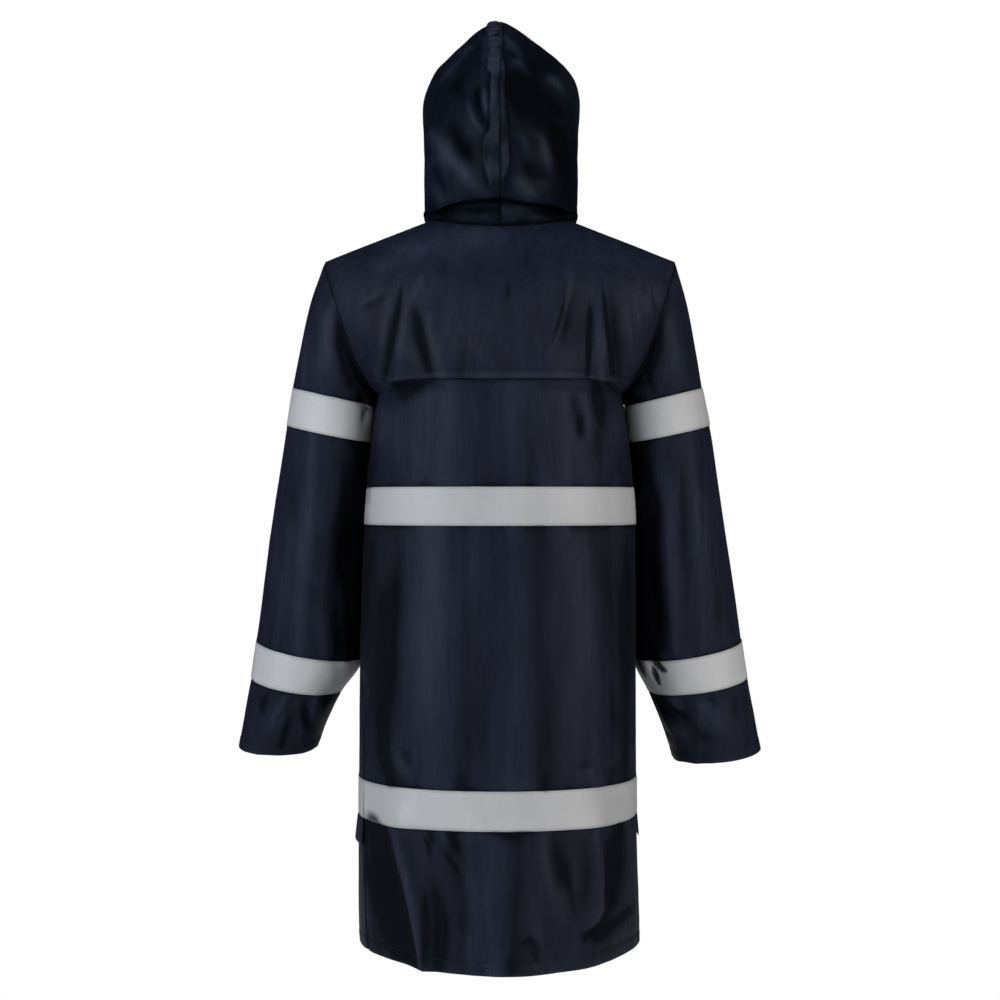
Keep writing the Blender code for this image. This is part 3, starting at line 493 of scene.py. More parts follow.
def sleeve_points(side, stations, columns):
    """Rings of points round a sleeve; columns run from 0 to 24 from the armpit round the back."""
    station, column = np.meshgrid(stations, columns, indexing="ij")
    rings = np.array(SLEEVE_RINGS, float)
    if side == "right":
        rings[:, (0, 2, 3, 5)] += np.array(RIGHT_SHIFTS, float)
    at = at_stations(rings, station)
    outer, inner, depth, lean = stack(*at[0:3]), stack(*at[3:6]), at[6], np.radians(at[7])
    across = unit(outer - inner)
    back_way = stack(0 * lean, np.cos(lean), -np.sin(lean))
    back_way = unit(back_way - np.sum(back_way * across, axis=-1, keepdims=True) * across)
    egg = ARMHOLE_EGG * np.maximum(1 - station / EGG_STATIONS, 0)
    turn = 2 * math.pi * column / SLEEVE_POINTS
    bulge = (depth * np.sin(turn) * (1 + egg * np.cos(turn)))[..., None] * back_way
    share = (1 - np.cos(turn)) / 2
    plain = inner + (outer - inner) * share[..., None] + bulge
    points = plain.copy()
    points[..., 0] -= spline(*zip(*SLEEVE_NEARER), station) * (1 - share) ** 2
    rise = sum(
        fold_rise(station * STATION_LENGTH, turn * depth, fold.s0 * STATION_LENGTH,
                  math.radians(fold.angle0) * depth, fold.s1 * STATION_LENGTH,
                  math.radians(fold.angle1) * depth, fold.width, fold.rise)
        for fold in SLEEVE_FOLDS if fold.sleeve == side)
    points = points + unit(points - (outer + inner) / 2) * rise[..., None]
    armhole = armhole_point(np.minimum(turn, 2 * math.pi - turn))
    armhole = armhole * np.where(turn <= math.pi, 1, -1)[..., None] ** (0, 1, 0)
    points = points + np.clip(1 - station, 0, 1)[..., None] ** 2 * (armhole - plain[:1])
    return points * (MIRROR[side], 1, 1)


def hood_points(side, rows, columns):
    """Points of half a hood: row 0 is the neck seam, 1 to 14 the bows, column 12 the centre."""
    row, column = np.meshgrid(rows, columns, indexing="ij")
    front_y, front_z, back_y, back_z, half_width, ridge, side_lift = at_stations(
        HOOD_BOWS, np.maximum(row - 1, 0))
    turn = math.pi * column / HOOD_COLUMNS
    reach = -np.cos(turn)
    share = (1 + reach) / 2
    fullness = HOOD_FULLNESS[side]
    before = np.sqrt(np.maximum(1 - reach**2, 0))
    rounding = 2 + fullness.crown * ridge
    behind = np.maximum(1 - np.abs(reach) ** rounding, 0) ** (1 / (2 - CROWN_BLUNTNESS * ridge))
    x = fullness.width * half_width * np.where(reach <= 0, before, behind)
    z = blend(front_z, back_z, share) + side_lift * np.sin(turn) ** 2
    at_front = column <= NECK_COLUMNS
    front_x, front_top = top_edge(np.minimum(column, NECK_COLUMNS), "front")
    back_x, back_top = top_edge(np.clip(HOOD_COLUMNS - column, 0, NECK_COLUMNS), "back")
    neck_x, neck_z = np.where(at_front, front_x, back_x), np.where(at_front, front_top, back_top)
    neck_y = np.where(at_front, -body_depth(neck_x, neck_z, "front", side),
                      body_depth(neck_x, neck_z, "back", side))
    x = x * spline(*zip(*HOOD_TRIM[side]), z)
    tucked = np.interp(row, range(len(TUCK_SHARE)), TUCK_SHARE) * smooth(6, 8, column)
    z = z - spline(*zip(*TUCK_DROP[side]), x) * tucked
    share_up = np.clip(row, 0, 1)
    return stack(MIRROR[side] * blend(neck_x, x, share_up),
                 blend(neck_y, blend(front_y, back_y, share), share_up),
                 blend(neck_z, z, share_up))


# ---- cloth: a fine grid of points, its creases, and its wall ----

# A crease or a ridge: height and width in mm, which ends keep their full
# height (0 neither, 1 the last, 2 both), and its way over the cloth as x, z points in metres
Crease = namedtuple("Crease", "rise width ends path")


def lines(*rows):
    """Creases given as height, width, ends, and the x, z of each point, all lengths in mm."""
    return [Crease(*row[:3], np.reshape(row[3:], (-1, 2)) / 1000) for row in rows]


def crease_rise(crease, x, z):
    """Height of one crease over a cloth, and how near each point is to its line."""
    points = np.array(crease.path)
    steps = np.linalg.norm(np.diff(points, axis=0), axis=1)
    whole = steps.sum()
    run = 0.0
    apart = np.full(x.shape, 1e3)
    along = np.zeros(x.shape)
    for a, b, length in zip(points[:-1], points[1:], steps):
        way = (b - a) / length
        to_x, to_z = x - a[0], z - a[1]
        share = np.clip((to_x * way[0] + to_z * way[1]) / length, 0, 1)
        gap = np.hypot(to_x - share * length * way[0], to_z - share * length * way[1])
        nearer = gap < apart
        along = np.where(nearer, (run + share * length) / whole, along)
        apart = np.minimum(apart, gap)
        run += length
    first = 1.0 if crease.ends == 2 else smooth(-0.10, 0.38, along)
    last = 1.0 if crease.ends else smooth(-0.10, 0.38, 1 - along)
    width = crease.width / 1000 * blend(0.72, 1.0, np.sin(math.pi * np.clip(along, 0.1, 0.9)))
    near = np.exp(-((apart / width) ** 1.7)) * first * last
    return crease.rise / 1000 * near, near * np.sign(crease.rise)


class Cloth:
    """A piece of cloth before it gets its wall.

    rows and columns say where each grid line runs in the piece's own numbering, and sewn names
    the edges that meet other pieces: bottom, top, first and last.
    """

    def __init__(self, name, points, rows, columns, core, sewn, ring=False):
        self.name, self.rows, self.columns = name, np.array(rows), np.array(columns)
        self.base, self.sewn, self.ring = points, sewn, ring
        self.out = self.normals(points, core(points))
        # tone is colour painted in for light and shade: lighter on ridges and swells, darker in
        # creases, grooves and shaded places
        self.rise, self.tone = np.zeros((2, *points.shape[:2]))
        shut = self.closed(points)
        across = np.cumsum(np.linalg.norm(np.diff(shut, axis=1), axis=-1), axis=1)
        self.across = np.insert(across, 0, 0, axis=1)
        self.run = self.across[:, : points.shape[1]]
        along = np.cumsum(np.linalg.norm(np.diff(points, axis=0), axis=-1), axis=0)
        self.along = np.insert(along, 0, 0, axis=0)
        middle = 0 if ring else int(np.argmin(np.abs(points[0, :, 0])))
        self.uv = stack(self.across - self.across[:, middle : middle + 1], self.closed(self.along))

    def closed(self, values):
        return np.concatenate((values, values[:, :1]), axis=1) if self.ring else values

    def normals(self, points, core=None):
        along = np.gradient(points, axis=0)
        if self.ring:
            across = np.roll(points, -1, axis=1) - np.roll(points, 1, axis=1)
        else:
            across = np.gradient(points, axis=1)
        normals = unit(np.cross(along, across))
        if core is not None:
            self.inside_out = float(np.sum(normals * (points - core))) < 0
        return -normals if self.inside_out else normals

    def from_edge(self, edge):
        """Distance of each point over the cloth from one of its edges."""
        return {
            "bottom": self.along,
            "top": self.along[-1:] - self.along,
            "first": self.run,
            "last": self.across[:, -1:] - self.run,
        }[edge]

    def from_seams(self):
        return np.min([self.from_edge(edge) for edge in self.sewn], axis=0)

    def crease(self, creases, facing):
        """Lay creases that are given as seen from behind or, if facing is -1, from the front."""
        x, z = self.base[..., 0], self.base[..., 2]
        side = smooth(0.02, 0.45, self.out[..., 1] * facing)
        for item in creases:
            rise, near = crease_rise(item, x, z)
            self.rise += rise * side
            # Painted shading along each crease: darker in a hollow, lighter on a ridge
            self.tone += near * side * min(abs(item.rise) / 3, 1)

    def shade(self, shades):
        """Paint shade or light on the cloth along lines that are given as seen from behind."""
        side = smooth(-0.15, 0.12, self.out[..., 1])
        for item in shades:
            near = crease_rise(item, self.base[..., 0], self.base[..., 2])[1]
            self.tone += abs(item.rise) * near * side

    def ripple(self, height, cell, seed, tone):
        """Low random swells over the whole cloth."""
        wave = soft_noise(self.base + 3.1, cell, seed)
        self.rise += height * wave * self.facing()
        # Painted light on the swells' crests and painted shade in their troughs
        self.tone += tone * wave

    def crumple(self, height, cell, seed, mask, tone):
        """Short, sharper random creases where the mask allows them."""
        wave = 1 - 2 * np.abs(soft_noise(self.base + 7.3, cell, seed)) ** 0.8
        mask = mask * self.facing()
        self.rise += height * wave * mask
        # Painted light on the crumples' ridges and painted shade in their folds
        self.tone += tone * wave * mask

    def pucker(self, gap, run, height, pitch, reach, seed):
        """Small gathers along stitches: gap is the distance from them, run the way along."""
        place = stack(run, gap * 0.35, 0 * run)
        wave = soft_noise(place + 11.7, (pitch, pitch * 1.6, 1.0), seed)
        near = np.exp(-np.abs(gap) / reach)
        self.rise += height * wave * near
        # Painted light on the gathers' crests and painted shade between them
        self.tone += 0.8 * wave * near

    def pucker_edges(self, height, pitch, reach, **seeds):
        for edge, seed in seeds.items():
            run = self.run if edge in ("bottom", "top") else self.along
            self.pucker(self.from_edge(edge), run, height, pitch, reach, seed)

    def facing(self):
        """One where the cloth faces back or front, and less where it turns away to the sides."""
        return 0.3 + 0.7 * smooth(0.0, 0.45, np.abs(self.out[..., 1]))

    def settle(self, hold):
        """Hold the seams still, sink a groove along each, and make the final surface."""
        gap = self.from_seams()
        self.rise *= 1 - bell(gap, hold)
        self.flat = self.base + self.rise[..., None] * self.out
        groove = np.max([depth * bell(self.from_edge(edge), GROOVE_REACH)
                         for edge, depth in self.sewn.items()], axis=0)
        self.points = self.flat - groove[..., None] * self.out
        # Painted shade in each seam's groove
        self.tone -= 1.2 * groove / SEAM_GROOVE
        self.way = self.normals(self.points)

    def thickness(self):
        """The wall thins towards its seams, so that it stays clear of its neighbours."""
        return blend(SEAM_CLOTH, CLOTH, smooth(0, SEAM_REACH, self.from_seams()))

    def place_row(self, row):
        return int(np.argmin(np.abs(self.rows - row)))

    def place_column(self, column):
        return int(np.argmin(np.abs(self.columns - column)))


EDGES = {"bottom": np.s_[0], "top": np.s_[-1], "first": np.s_[:, 0], "last": np.s_[:, -1]}


def share_ways(cloths, which):
    """Give the pieces one way out along each seam that they share, so that no gap opens."""
    lines = [(cloth, edge, cloth.base[EDGES[edge]], getattr(cloth, which)[EDGES[edge]])
             for cloth in cloths for edge in cloth.sewn]
    shared = []
    for cloth, edge, points, ways in lines:
        total = ways.copy()
        for other, _, other_points, other_ways in lines:
            if other is not cloth:
                gaps = np.linalg.norm(points[:, None] - other_points[None], axis=-1)
                nearest = gaps.argmin(axis=1)
                meets = gaps[np.arange(len(points)), nearest] < SEAM_GAP
                total += other_ways[nearest] * meets[:, None]
        shared.append(unit(total))
    for (cloth, edge, *_), ways in zip(lines, shared):
        near = bell(cloth.from_edge(edge), SEAM_REACH)[..., None]
        spread = ways[None] if edge in ("bottom", "top") else ways[:, None]
        own = getattr(cloth, which)
        setattr(cloth, which, unit(own + (spread - own) * near))


def into_scene(name, data):
    obj = bpy.data.objects.new(name, data)
    bpy.context.scene.collection.objects.link(obj)
    return obj


def wall(name, outer, inner, inside_out, ring, uv, tone, edge):
    """A closed cloth wall from a grid of outer points and one of inner points."""
    count = outer[..., 0].size
    grid = np.arange(count).reshape(outer.shape[:2])
    shut = np.concatenate((grid, grid[:, :1]), axis=1) if ring else grid
    size = shut.size
    place = np.arange(size).reshape(shut.shape)
    a, b, c, d = place[:-1, :-1], place[1:, :-1], place[1:, 1:], place[:-1, 1:]
    quads = [(a, b, c, d), (a + size, d + size, c + size, b + size)]
    rims = [place[0], place[-1][::-1]] + ([] if ring else [place[::-1, 0], place[:, -1]])
    quads += [(rim[:-1], rim[1:], rim[1:] + size, rim[:-1] + size) for rim in rims]
    quads = np.concatenate([stack(*quad).reshape(-1, 4) for quad in quads])
    quads = quads[:, ::-1] if inside_out else quads
    corners = quads % size
    faces = shut.ravel()[corners] + quads // size * count
    points = np.concatenate((outer.reshape(-1, 3), inner.reshape(-1, 3)))
    mesh = bpy.data.meshes.new(name)
    mesh.from_pydata(points.tolist(), [], faces.tolist())
    mesh.update()
    layer = mesh.uv_layers.new(name="cloth")
    layer.data.foreach_set("uv", uv.reshape(-1, 2)[corners.ravel()].ravel())
    # Painted light and shade, and how near each point is to a free edge, where the cloth rubs
    for label, values in (("tone", tone), ("edge", edge)):
        store = mesh.attributes.new(label, "FLOAT", "POINT")
        values = np.clip(values, -1, 1).reshape(-1)
        store.data.foreach_set("value", np.concatenate((values, values)))
    mesh.shade_smooth()
    mesh.set_sharp_from_angle(angle=math.radians(SHARP_EDGE))
    return into_scene(name, mesh)


def edge_rub(*gaps, reach=0.003):
    """How near each point is to a free edge, where cloth rubs and turns over."""
    return np.max([bell(gap, reach) for gap in gaps], axis=0)


def make_cloth(cloth):
    inner = cloth.points - cloth.thickness()[..., None] * cloth.way
    edges = ("bottom", "top") if cloth.ring else EDGES
    rubbed = edge_rub(*(cloth.from_edge(edge) for edge in edges if edge not in cloth.sewn))
    return wall(f"{cloth.name}_cloth", cloth.points, inner, cloth.inside_out, cloth.ring,
                cloth.uv, cloth.tone, rubbed)


def lay_on(name, cloth, rows, columns, thickness, stand=LIFT, roll=EDGE_ROLL, inset=0.0):
    """A trim over part of a cloth's grid, with its long edges rolled over and stitched down."""
    seat = cloth.flat[rows, columns]
    way = cloth.way[rows, columns]
    along = cloth.along[rows, columns]
    from_low, from_high = along - along[:1], along[-1:] - along
    ends = []
    if not cloth.ring:
        across = cloth.across[rows, columns]
        ends = [across - across[:, :1], across[:, -1:] - across]
    height = np.full(along.shape, float(thickness))
    for gap in (from_low, from_high):
        height -= roll * bell(gap, EDGE_ROLL_REACH)
        if inset:
            height -= 0.5 * roll * bell(gap - inset, STITCH_DIP_REACH)
    low = seat + np.broadcast_to(stand, along.shape)[..., None] * way
    high = low + height[..., None] * way
    # The trim carries the cloth's painted light and shade, weaker
    tone = cloth.tone[rows, columns] * 0.6
    uv = cloth.uv[rows] if cloth.ring else cloth.uv[rows, columns]
    uv = uv - (0, 1) * uv[:1, :1]
    made = wall(name, high, low, cloth.inside_out, cloth.ring, uv, tone,
                edge_rub(from_low, from_high, *ends, reach=0.0022))
    return made, high, way


# ---- lines of stitches ----


class Stitches:
    """Paths of one thread, gathered before the stitches are set along them."""

    def __init__(self):
        self.points, self.ups, self.edges = [], [], []

    def add(self, points, ups, closed):
        start = sum(len(p) for p in self.points)
        count = len(points)
        self.points.append(points)
        self.ups.append(unit(ups))
        self.edges += [(start + i, start + i + 1) for i in range(count - 1)]
        if closed:
            self.edges.append((start + count - 1, start))


def line_inside(points, way, gap, inset, edge):
    """A line over a grid, a given distance in from an edge."""
    if edge in ("first", "last"):
        points, way, gap = (np.swapaxes(a, 0, 1) for a in (points, way, gap))
    steps = np.arange(points.shape[1])
    order = np.argsort(gap[:, 0])
    low = np.clip(np.sum(gap[order] <= inset, axis=0) - 1, 0, gap.shape[0] - 2)
    near, far = gap[order][low, steps], gap[order][low + 1, steps]
    share = ((inset - near) / np.maximum(far - near, 1e-9))[:, None]
    here = blend(points[order][low, steps], points[order][low + 1, steps], share)
    return here, blend(way[order][low, steps], way[order][low + 1, steps], share)


# ---- creases, listed as lines() takes them ----

YOKE_CREASES = lines(
    (-2.6, 5.1, 1, 127, -97, 134, -139, 142, -178, 152, -221),
    (1.74, 8.4, 1, 139, -100, 147, -145, 161, -212),
    (1.36, 6.4, 1, 117, -120, 126, -178, 134, -220), (1.98, 4.6, 0, 94, -76, 107, -104, 120, -130),
    (-2.23, 6, 1, 111, -120, 103, -165, 87, -221), (1.49, 8.4, 1, 93, -120, 85, -171, 69, -221),
    (1.98, 4.6, 0, -93, -73, -81, -120, -64, -178, -55, -219),
    (-1.61, 5.5, 0, -102, -86, -91, -126, -77, -184),
    (-2.48, 4.1, 1, -121, -112, -116, -165, -113, -221),
    (1.86, 5.1, 1, -129, -94, -135, -145, -133, -221),
    (-2.36, 7.5, 1, -144, -91, -149, -158, -158, -221),
    (1.12, 7.5, 0, -165, -120, -172, -171, -175, -210), (-0.99, 3.7, 0, -10, -86, -12, -124),
    (-0.62, 3.7, 0, 5, -85, 13, -109), (-0.74, 8.4, 1, 39, -143, 49, -221),
    (-0.68, 9.3, 1, -46, -120, -37, -221), (0.56, 8.4, 1, 26, -120, 15, -221),
    (0.81, 4.6, 0, 193, -121, 165, -111, 142, -95),
    (-0.74, 4.6, 0, 185, -130, 160, -121, 139, -108),
    (0.99, 4.6, 0, -180, -97, -196, -120, -199, -145),
    (-0.99, 3.7, 0, -199, -93, -207, -120, -206, -143), (0.68, 4.6, 0, -160, -143, -193, -134),
)
BACK_CREASES = lines(
    (-3, 10.2, 0, 148, -229, 121, -234, 90, -227), (-2.6, 11.5, 0, 134, -226, 125, -252),
    (2, 9, 0, 156, -239, 152, -275, 159, -316), (-3, 10.2, 0, -125, -226, -133, -256, -136, -293),
    (2.3, 9, 0, -109, -226, -113, -268, -119, -311),
    (-2.3, 7.7, 0, -92, -231, -102, -268, -113, -303),
    (1.3, 11.5, 2, -15, -224, -13, -287, -22, -359),
    (-1.2, 10.2, 1, -37, -231, -31, -300, -42, -359), (-0.9, 15.3, 2, 17, -224, 13, -359),
    (1.1, 10.2, 1, -84, -239, -84, -359), (0.9, 15.3, 2, 58, -226, 65, -359),
    (1.7, 16.6, 2, -15, -410, -20, -556, -15, -748),
    (-1.6, 16.6, 2, -52, -410, -49, -556, -55, -748), (1.5, 19.2, 0, 75, -410, 87, -505, 92, -658),
    (-3.2, 14.1, 0, 132, -428, 141, -556, 132, -697), (-1.2, 14.1, 2, 47, -410, 38, -556, 43, -748),
    (1.5, 21.7, 0, -96, -410, -109, -556, -102, -735), (-2.2, 6.4, 0, -146, -612, -150, -697),
    (-1.7, 11.5, 0, -136, -415, -143, -505, -139, -633),
    (1.6, 9, 0, 159, -441, 162, -556, 160, -684), (1.6, 5.8, 0, 139, -697, 129, -720, 114, -743),
    (-1.8, 5.8, 0, 125, -697, 115, -722), (-1.2, 5.1, 1, 49, -720, 58, -748),
    (-1.3, 5.1, 1, -61, -720, -58, -748), (-2, 4.5, 0, -100, -724, -110, -717, -121, -720),
    (1.6, 5.1, 1, -115, -722, -123, -745), (-1.7, 5.8, 0, -150, -717, -143, -745),
    (4.6, 7.5, 1, 142, -784, 129, -838, 112, -895, 95, -973),
    (-6.5, 15.1, 1, 152, -798, 143, -854, 128, -910, 119, -964),
    (-3, 10, 1, 88, -851, 75, -910, 78, -973), (-2.2, 5, 0, 93, -792, 84, -818),
    (1.8, 4.4, 0, 75, -792, 67, -818), (-2.6, 5.6, 0, 65, -792, 50, -829),
    (1.1, 6.3, 0, 43, -792, 36, -819), (-1.6, 3.8, 0, 18, -795, -10, -801, -39, -795),
    (2, 15.1, 2, 0, -799, 8, -879, 3, -977), (-1.7, 12.6, 1, -25, -801, -21, -879, -15, -977),
    (-2.6, 10, 0, -67, -796, -73, -835, -84, -883), (2.2, 11.3, 0, -50, -796, -60, -854, -75, -922),
    (4.4, 7.5, 0, -124, -792, -128, -854, -127, -897, -114, -917, -99, -932),
    (-6, 12.6, 0, -141, -799, -143, -867, -139, -917),
    (-3.6, 5, 0, -94, -934, -113, -928, -136, -922), (1, 6.3, 0, -29, -929, -41, -919, -53, -944),
    (-2.2, 6.3, 0, -38, -939, -51, -959), (-2.6, 5, 0, -154, -792, -158, -816),
    (1.6, 7.5, 1, 38, -917, 33, -976),
)
SLEEVE_CREASES = {
    "left": lines(
        (2, 10.7, 0, 238, -110, 231, -163, 237, -219),
        (-3.2, 9.4, 0, 219, -134, 207, -187, 196, -235), (1.4, 10.7, 0, 259, -143, 263, -225),
        (-1.6, 10.7, 0, 267, -297, 273, -377, 266, -464),
        (2.2, 10.7, 1, 250, -291, 255, -404, 266, -511, 271, -580),
        (-3.6, 10.7, 0, 207, -297, 203, -404, 212, -524),
        (-1.9, 6.7, 0, 265, -489, 246, -504, 242, -524),
        (1.9, 8.7, 1, 233, -457, 243, -524, 238, -583), (-2.8, 8, 1, 223, -505, 216, -585),
        (1.3, 8, 0, 290, -450, 299, -537, 306, -584), (-1.2, 8, 0, 283, -337, 289, -430),
        (2, 4, 0, 183, -233, 174, -255, 179, -281), (-2.2, 4, 0, 191, -233, 184, -259, 188, -283),
        (3.2, 6.1, 0, 284, -635, 301, -665, 318, -698),
        (-2.8, 6.1, 1, 276, -641, 287, -676, 298, -714),
        (-4, 5.7, 0, 265, -641, 267, -669, 257, -695),
        (2.6, 6.8, 0, 246, -633, 253, -663, 264, -701), (-2, 6.1, 0, 231, -630, 237, -652),
        (-2, 6.8, 0, 332, -635, 324, -679), (-2.2, 5.4, 0, 226, -588, 220, -611, 228, -633),
        (1.8, 5.4, 0, 213, -588, 209, -611), (-5, 4, 0, 188, -227, 180, -254, 186, -283),
        (4, 4, 0, 182, -235, 174, -259, 180, -286), (-5, 4, 0, 172, -241, 170, -259, 174, -281),
        (-2, 5.3, 0, 184, -206, 195, -222, 200, -238),
    ),
    "right": lines(
        (-3.6, 9.4, 0, -208, -143, -199, -187, -187, -233),
        (1.7, 10.7, 0, -231, -107, -237, -177, -231, -238), (-1.3, 8, 0, -254, -150, -257, -217),
        (-4, 7.3, 0, -195, -297, -200, -404, -207, -511, -215, -577),
        (2.6, 8.7, 1, -216, -297, -224, -404, -230, -511, -237, -584),
        (-2.2, 7.3, 0, -242, -304, -246, -404, -249, -524),
        (1.7, 8, 1, -259, -297, -267, -430, -275, -577),
        (-1.6, 6.7, 0, -285, -397, -294, -511, -299, -584), (-1.2, 6.7, 0, -270, -304, -275, -377),
        (-3.6, 4.8, 0, -186, -562, -204, -581, -222, -614),
        (-3.6, 4.1, 0, -205, -581, -215, -600, -224, -624),
        (2.4, 4.1, 0, -197, -584, -203, -605, -212, -633), (-2, 4.1, 0, -192, -592, -205, -633),
        (3.4, 5.4, 0, -212, -635, -228, -648, -253, -668),
        (-4, 5.7, 0, -207, -644, -224, -664, -241, -684),
        (2.6, 6.8, 0, -220, -669, -239, -692, -260, -707),
        (2.1, 8.2, 0, -258, -646, -280, -665, -295, -692), (-2, 6.8, 0, -272, -641, -299, -658),
        (-2.6, 6.8, 0, -257, -688, -277, -701, -296, -706), (-1.6, 6.8, 0, -321, -638, -328, -690),
        (1.6, 8.2, 0, -305, -649, -313, -710), (-6, 4.5, 0, -188, -584, -204, -596, -220, -608),
        (5, 4.3, 0, -191, -591, -203, -604, -208, -618),
        (-5, 4, 0, -206, -601, -211, -614, -216, -626),
        (-2, 5.3, 0, -188, -206, -200, -225, -206, -241),
    ),
}
HOOD_CREASES = {
    "left": lines(
        (-3, 3.4, 0, 30, 170, 29, 141, 23, 123), (3, 4.7, 0, 44, 154, 42, 139, 33, 115, 18, 96),
        (2.4, 5.2, 0, 18, 162, 18, 147, 14, 123), (-2.4, 4.4, 0, 26, 128, 20, 113, 13, 100),
        (3.2, 11.7, 0, 96, 120, 81, 92, 63, 64, 17, 20), (-2.6, 10.4, 0, 73, 128, 55, 89, 29, 53),
        (-2, 10.4, 0, 78, 186, 59, 170, 49, 145), (1.7, 7.8, 0, 47, 213, 61, 196, 77, 175),
        (-1.6, 7.8, 0, 91, 79, 83, 46, 65, 19), (1.4, 6.5, 0, 94, 46, 82, 24, 70, 8),
    ),
    "right": lines(
        (3, 9.1, 0, -38, 107, -53, 93, -61, 66, -72, 35),
        (-3.2, 10.4, 0, -73, 123, -79, 79, -95, 42), (-3.2, 8.5, 0, -27, 68, -39, 50, -64, 38),
        (2.2, 6.5, 0, -5, 199, -26, 192, -43, 176), (-3.2, 10.4, 0, -8, 175, -23, 153, -25, 118),
        (2.2, 7.8, 0, -49, 183, -72, 175, -92, 154), (2, 9.1, 0, -16, 42, -29, 28, -52, 14),
        (-2, 7.8, 0, -59, 154, -78, 139, -96, 128), (1.8, 6.5, 0, -21, 102, -31, 84, -31, 68),
    ),
}
FRONT_CREASES = {
    "left": lines(
        (3, 7, 0, 128, -95, 112, -140, 90, -190), (-3.4, 8, 0, 142, -100, 140, -150, 146, -215),
        (2.2, 9, 0, 104, -110, 86, -170, 70, -240), (-2.2, 8, 0, 116, -200, 98, -260, 92, -330),
        (2.4, 9, 0, 150, -235, 148, -280, 152, -330), (1.6, 14, 2, 70, -420, 78, -560, 72, -740),
        (-1.8, 14, 2, 108, -420, 114, -560, 104, -740),
        (2.4, 9, 0, 145, -430, 140, -560, 146, -700), (4.6, 9, 1, 98, -840, 110, -900, 118, -972),
        (-4.4, 11, 1, 124, -846, 132, -900, 142, -972), (-2.2, 10, 1, 70, -830, 74, -900, 70, -972),
        (2, 5, 0, 160, -802, 152, -826), (-2, 5, 0, 60, -800, 54, -832),
        (1.8, 5, 0, 132, -716, 128, -744),
    ),
    "right": lines(
        (3.2, 7, 0, -124, -92, -106, -145, -84, -200),
        (-3.2, 9, 0, -138, -98, -132, -160, -142, -225),
        (-2.4, 8, 0, -100, -115, -80, -175, -66, -250),
        (2.2, 8, 0, -118, -210, -102, -270, -96, -340),
        (-2.2, 8, 0, -150, -240, -146, -290, -150, -340),
        (1.6, 14, 2, -66, -420, -60, -560, -68, -740),
        (-1.7, 15, 2, -100, -420, -110, -560, -98, -740),
        (2.2, 9, 0, -142, -430, -148, -540, -140, -690),
        (4.6, 9, 1, -106, -838, -116, -900, -126, -972),
        (-4.8, 11, 1, -134, -842, -144, -900, -150, -972),
        (2, 9, 1, -66, -836, -62, -900, -68, -972), (-2.2, 5, 0, -156, -800, -148, -828),
        (1.8, 5, 0, -78, -720, -74, -745),
    ),
}
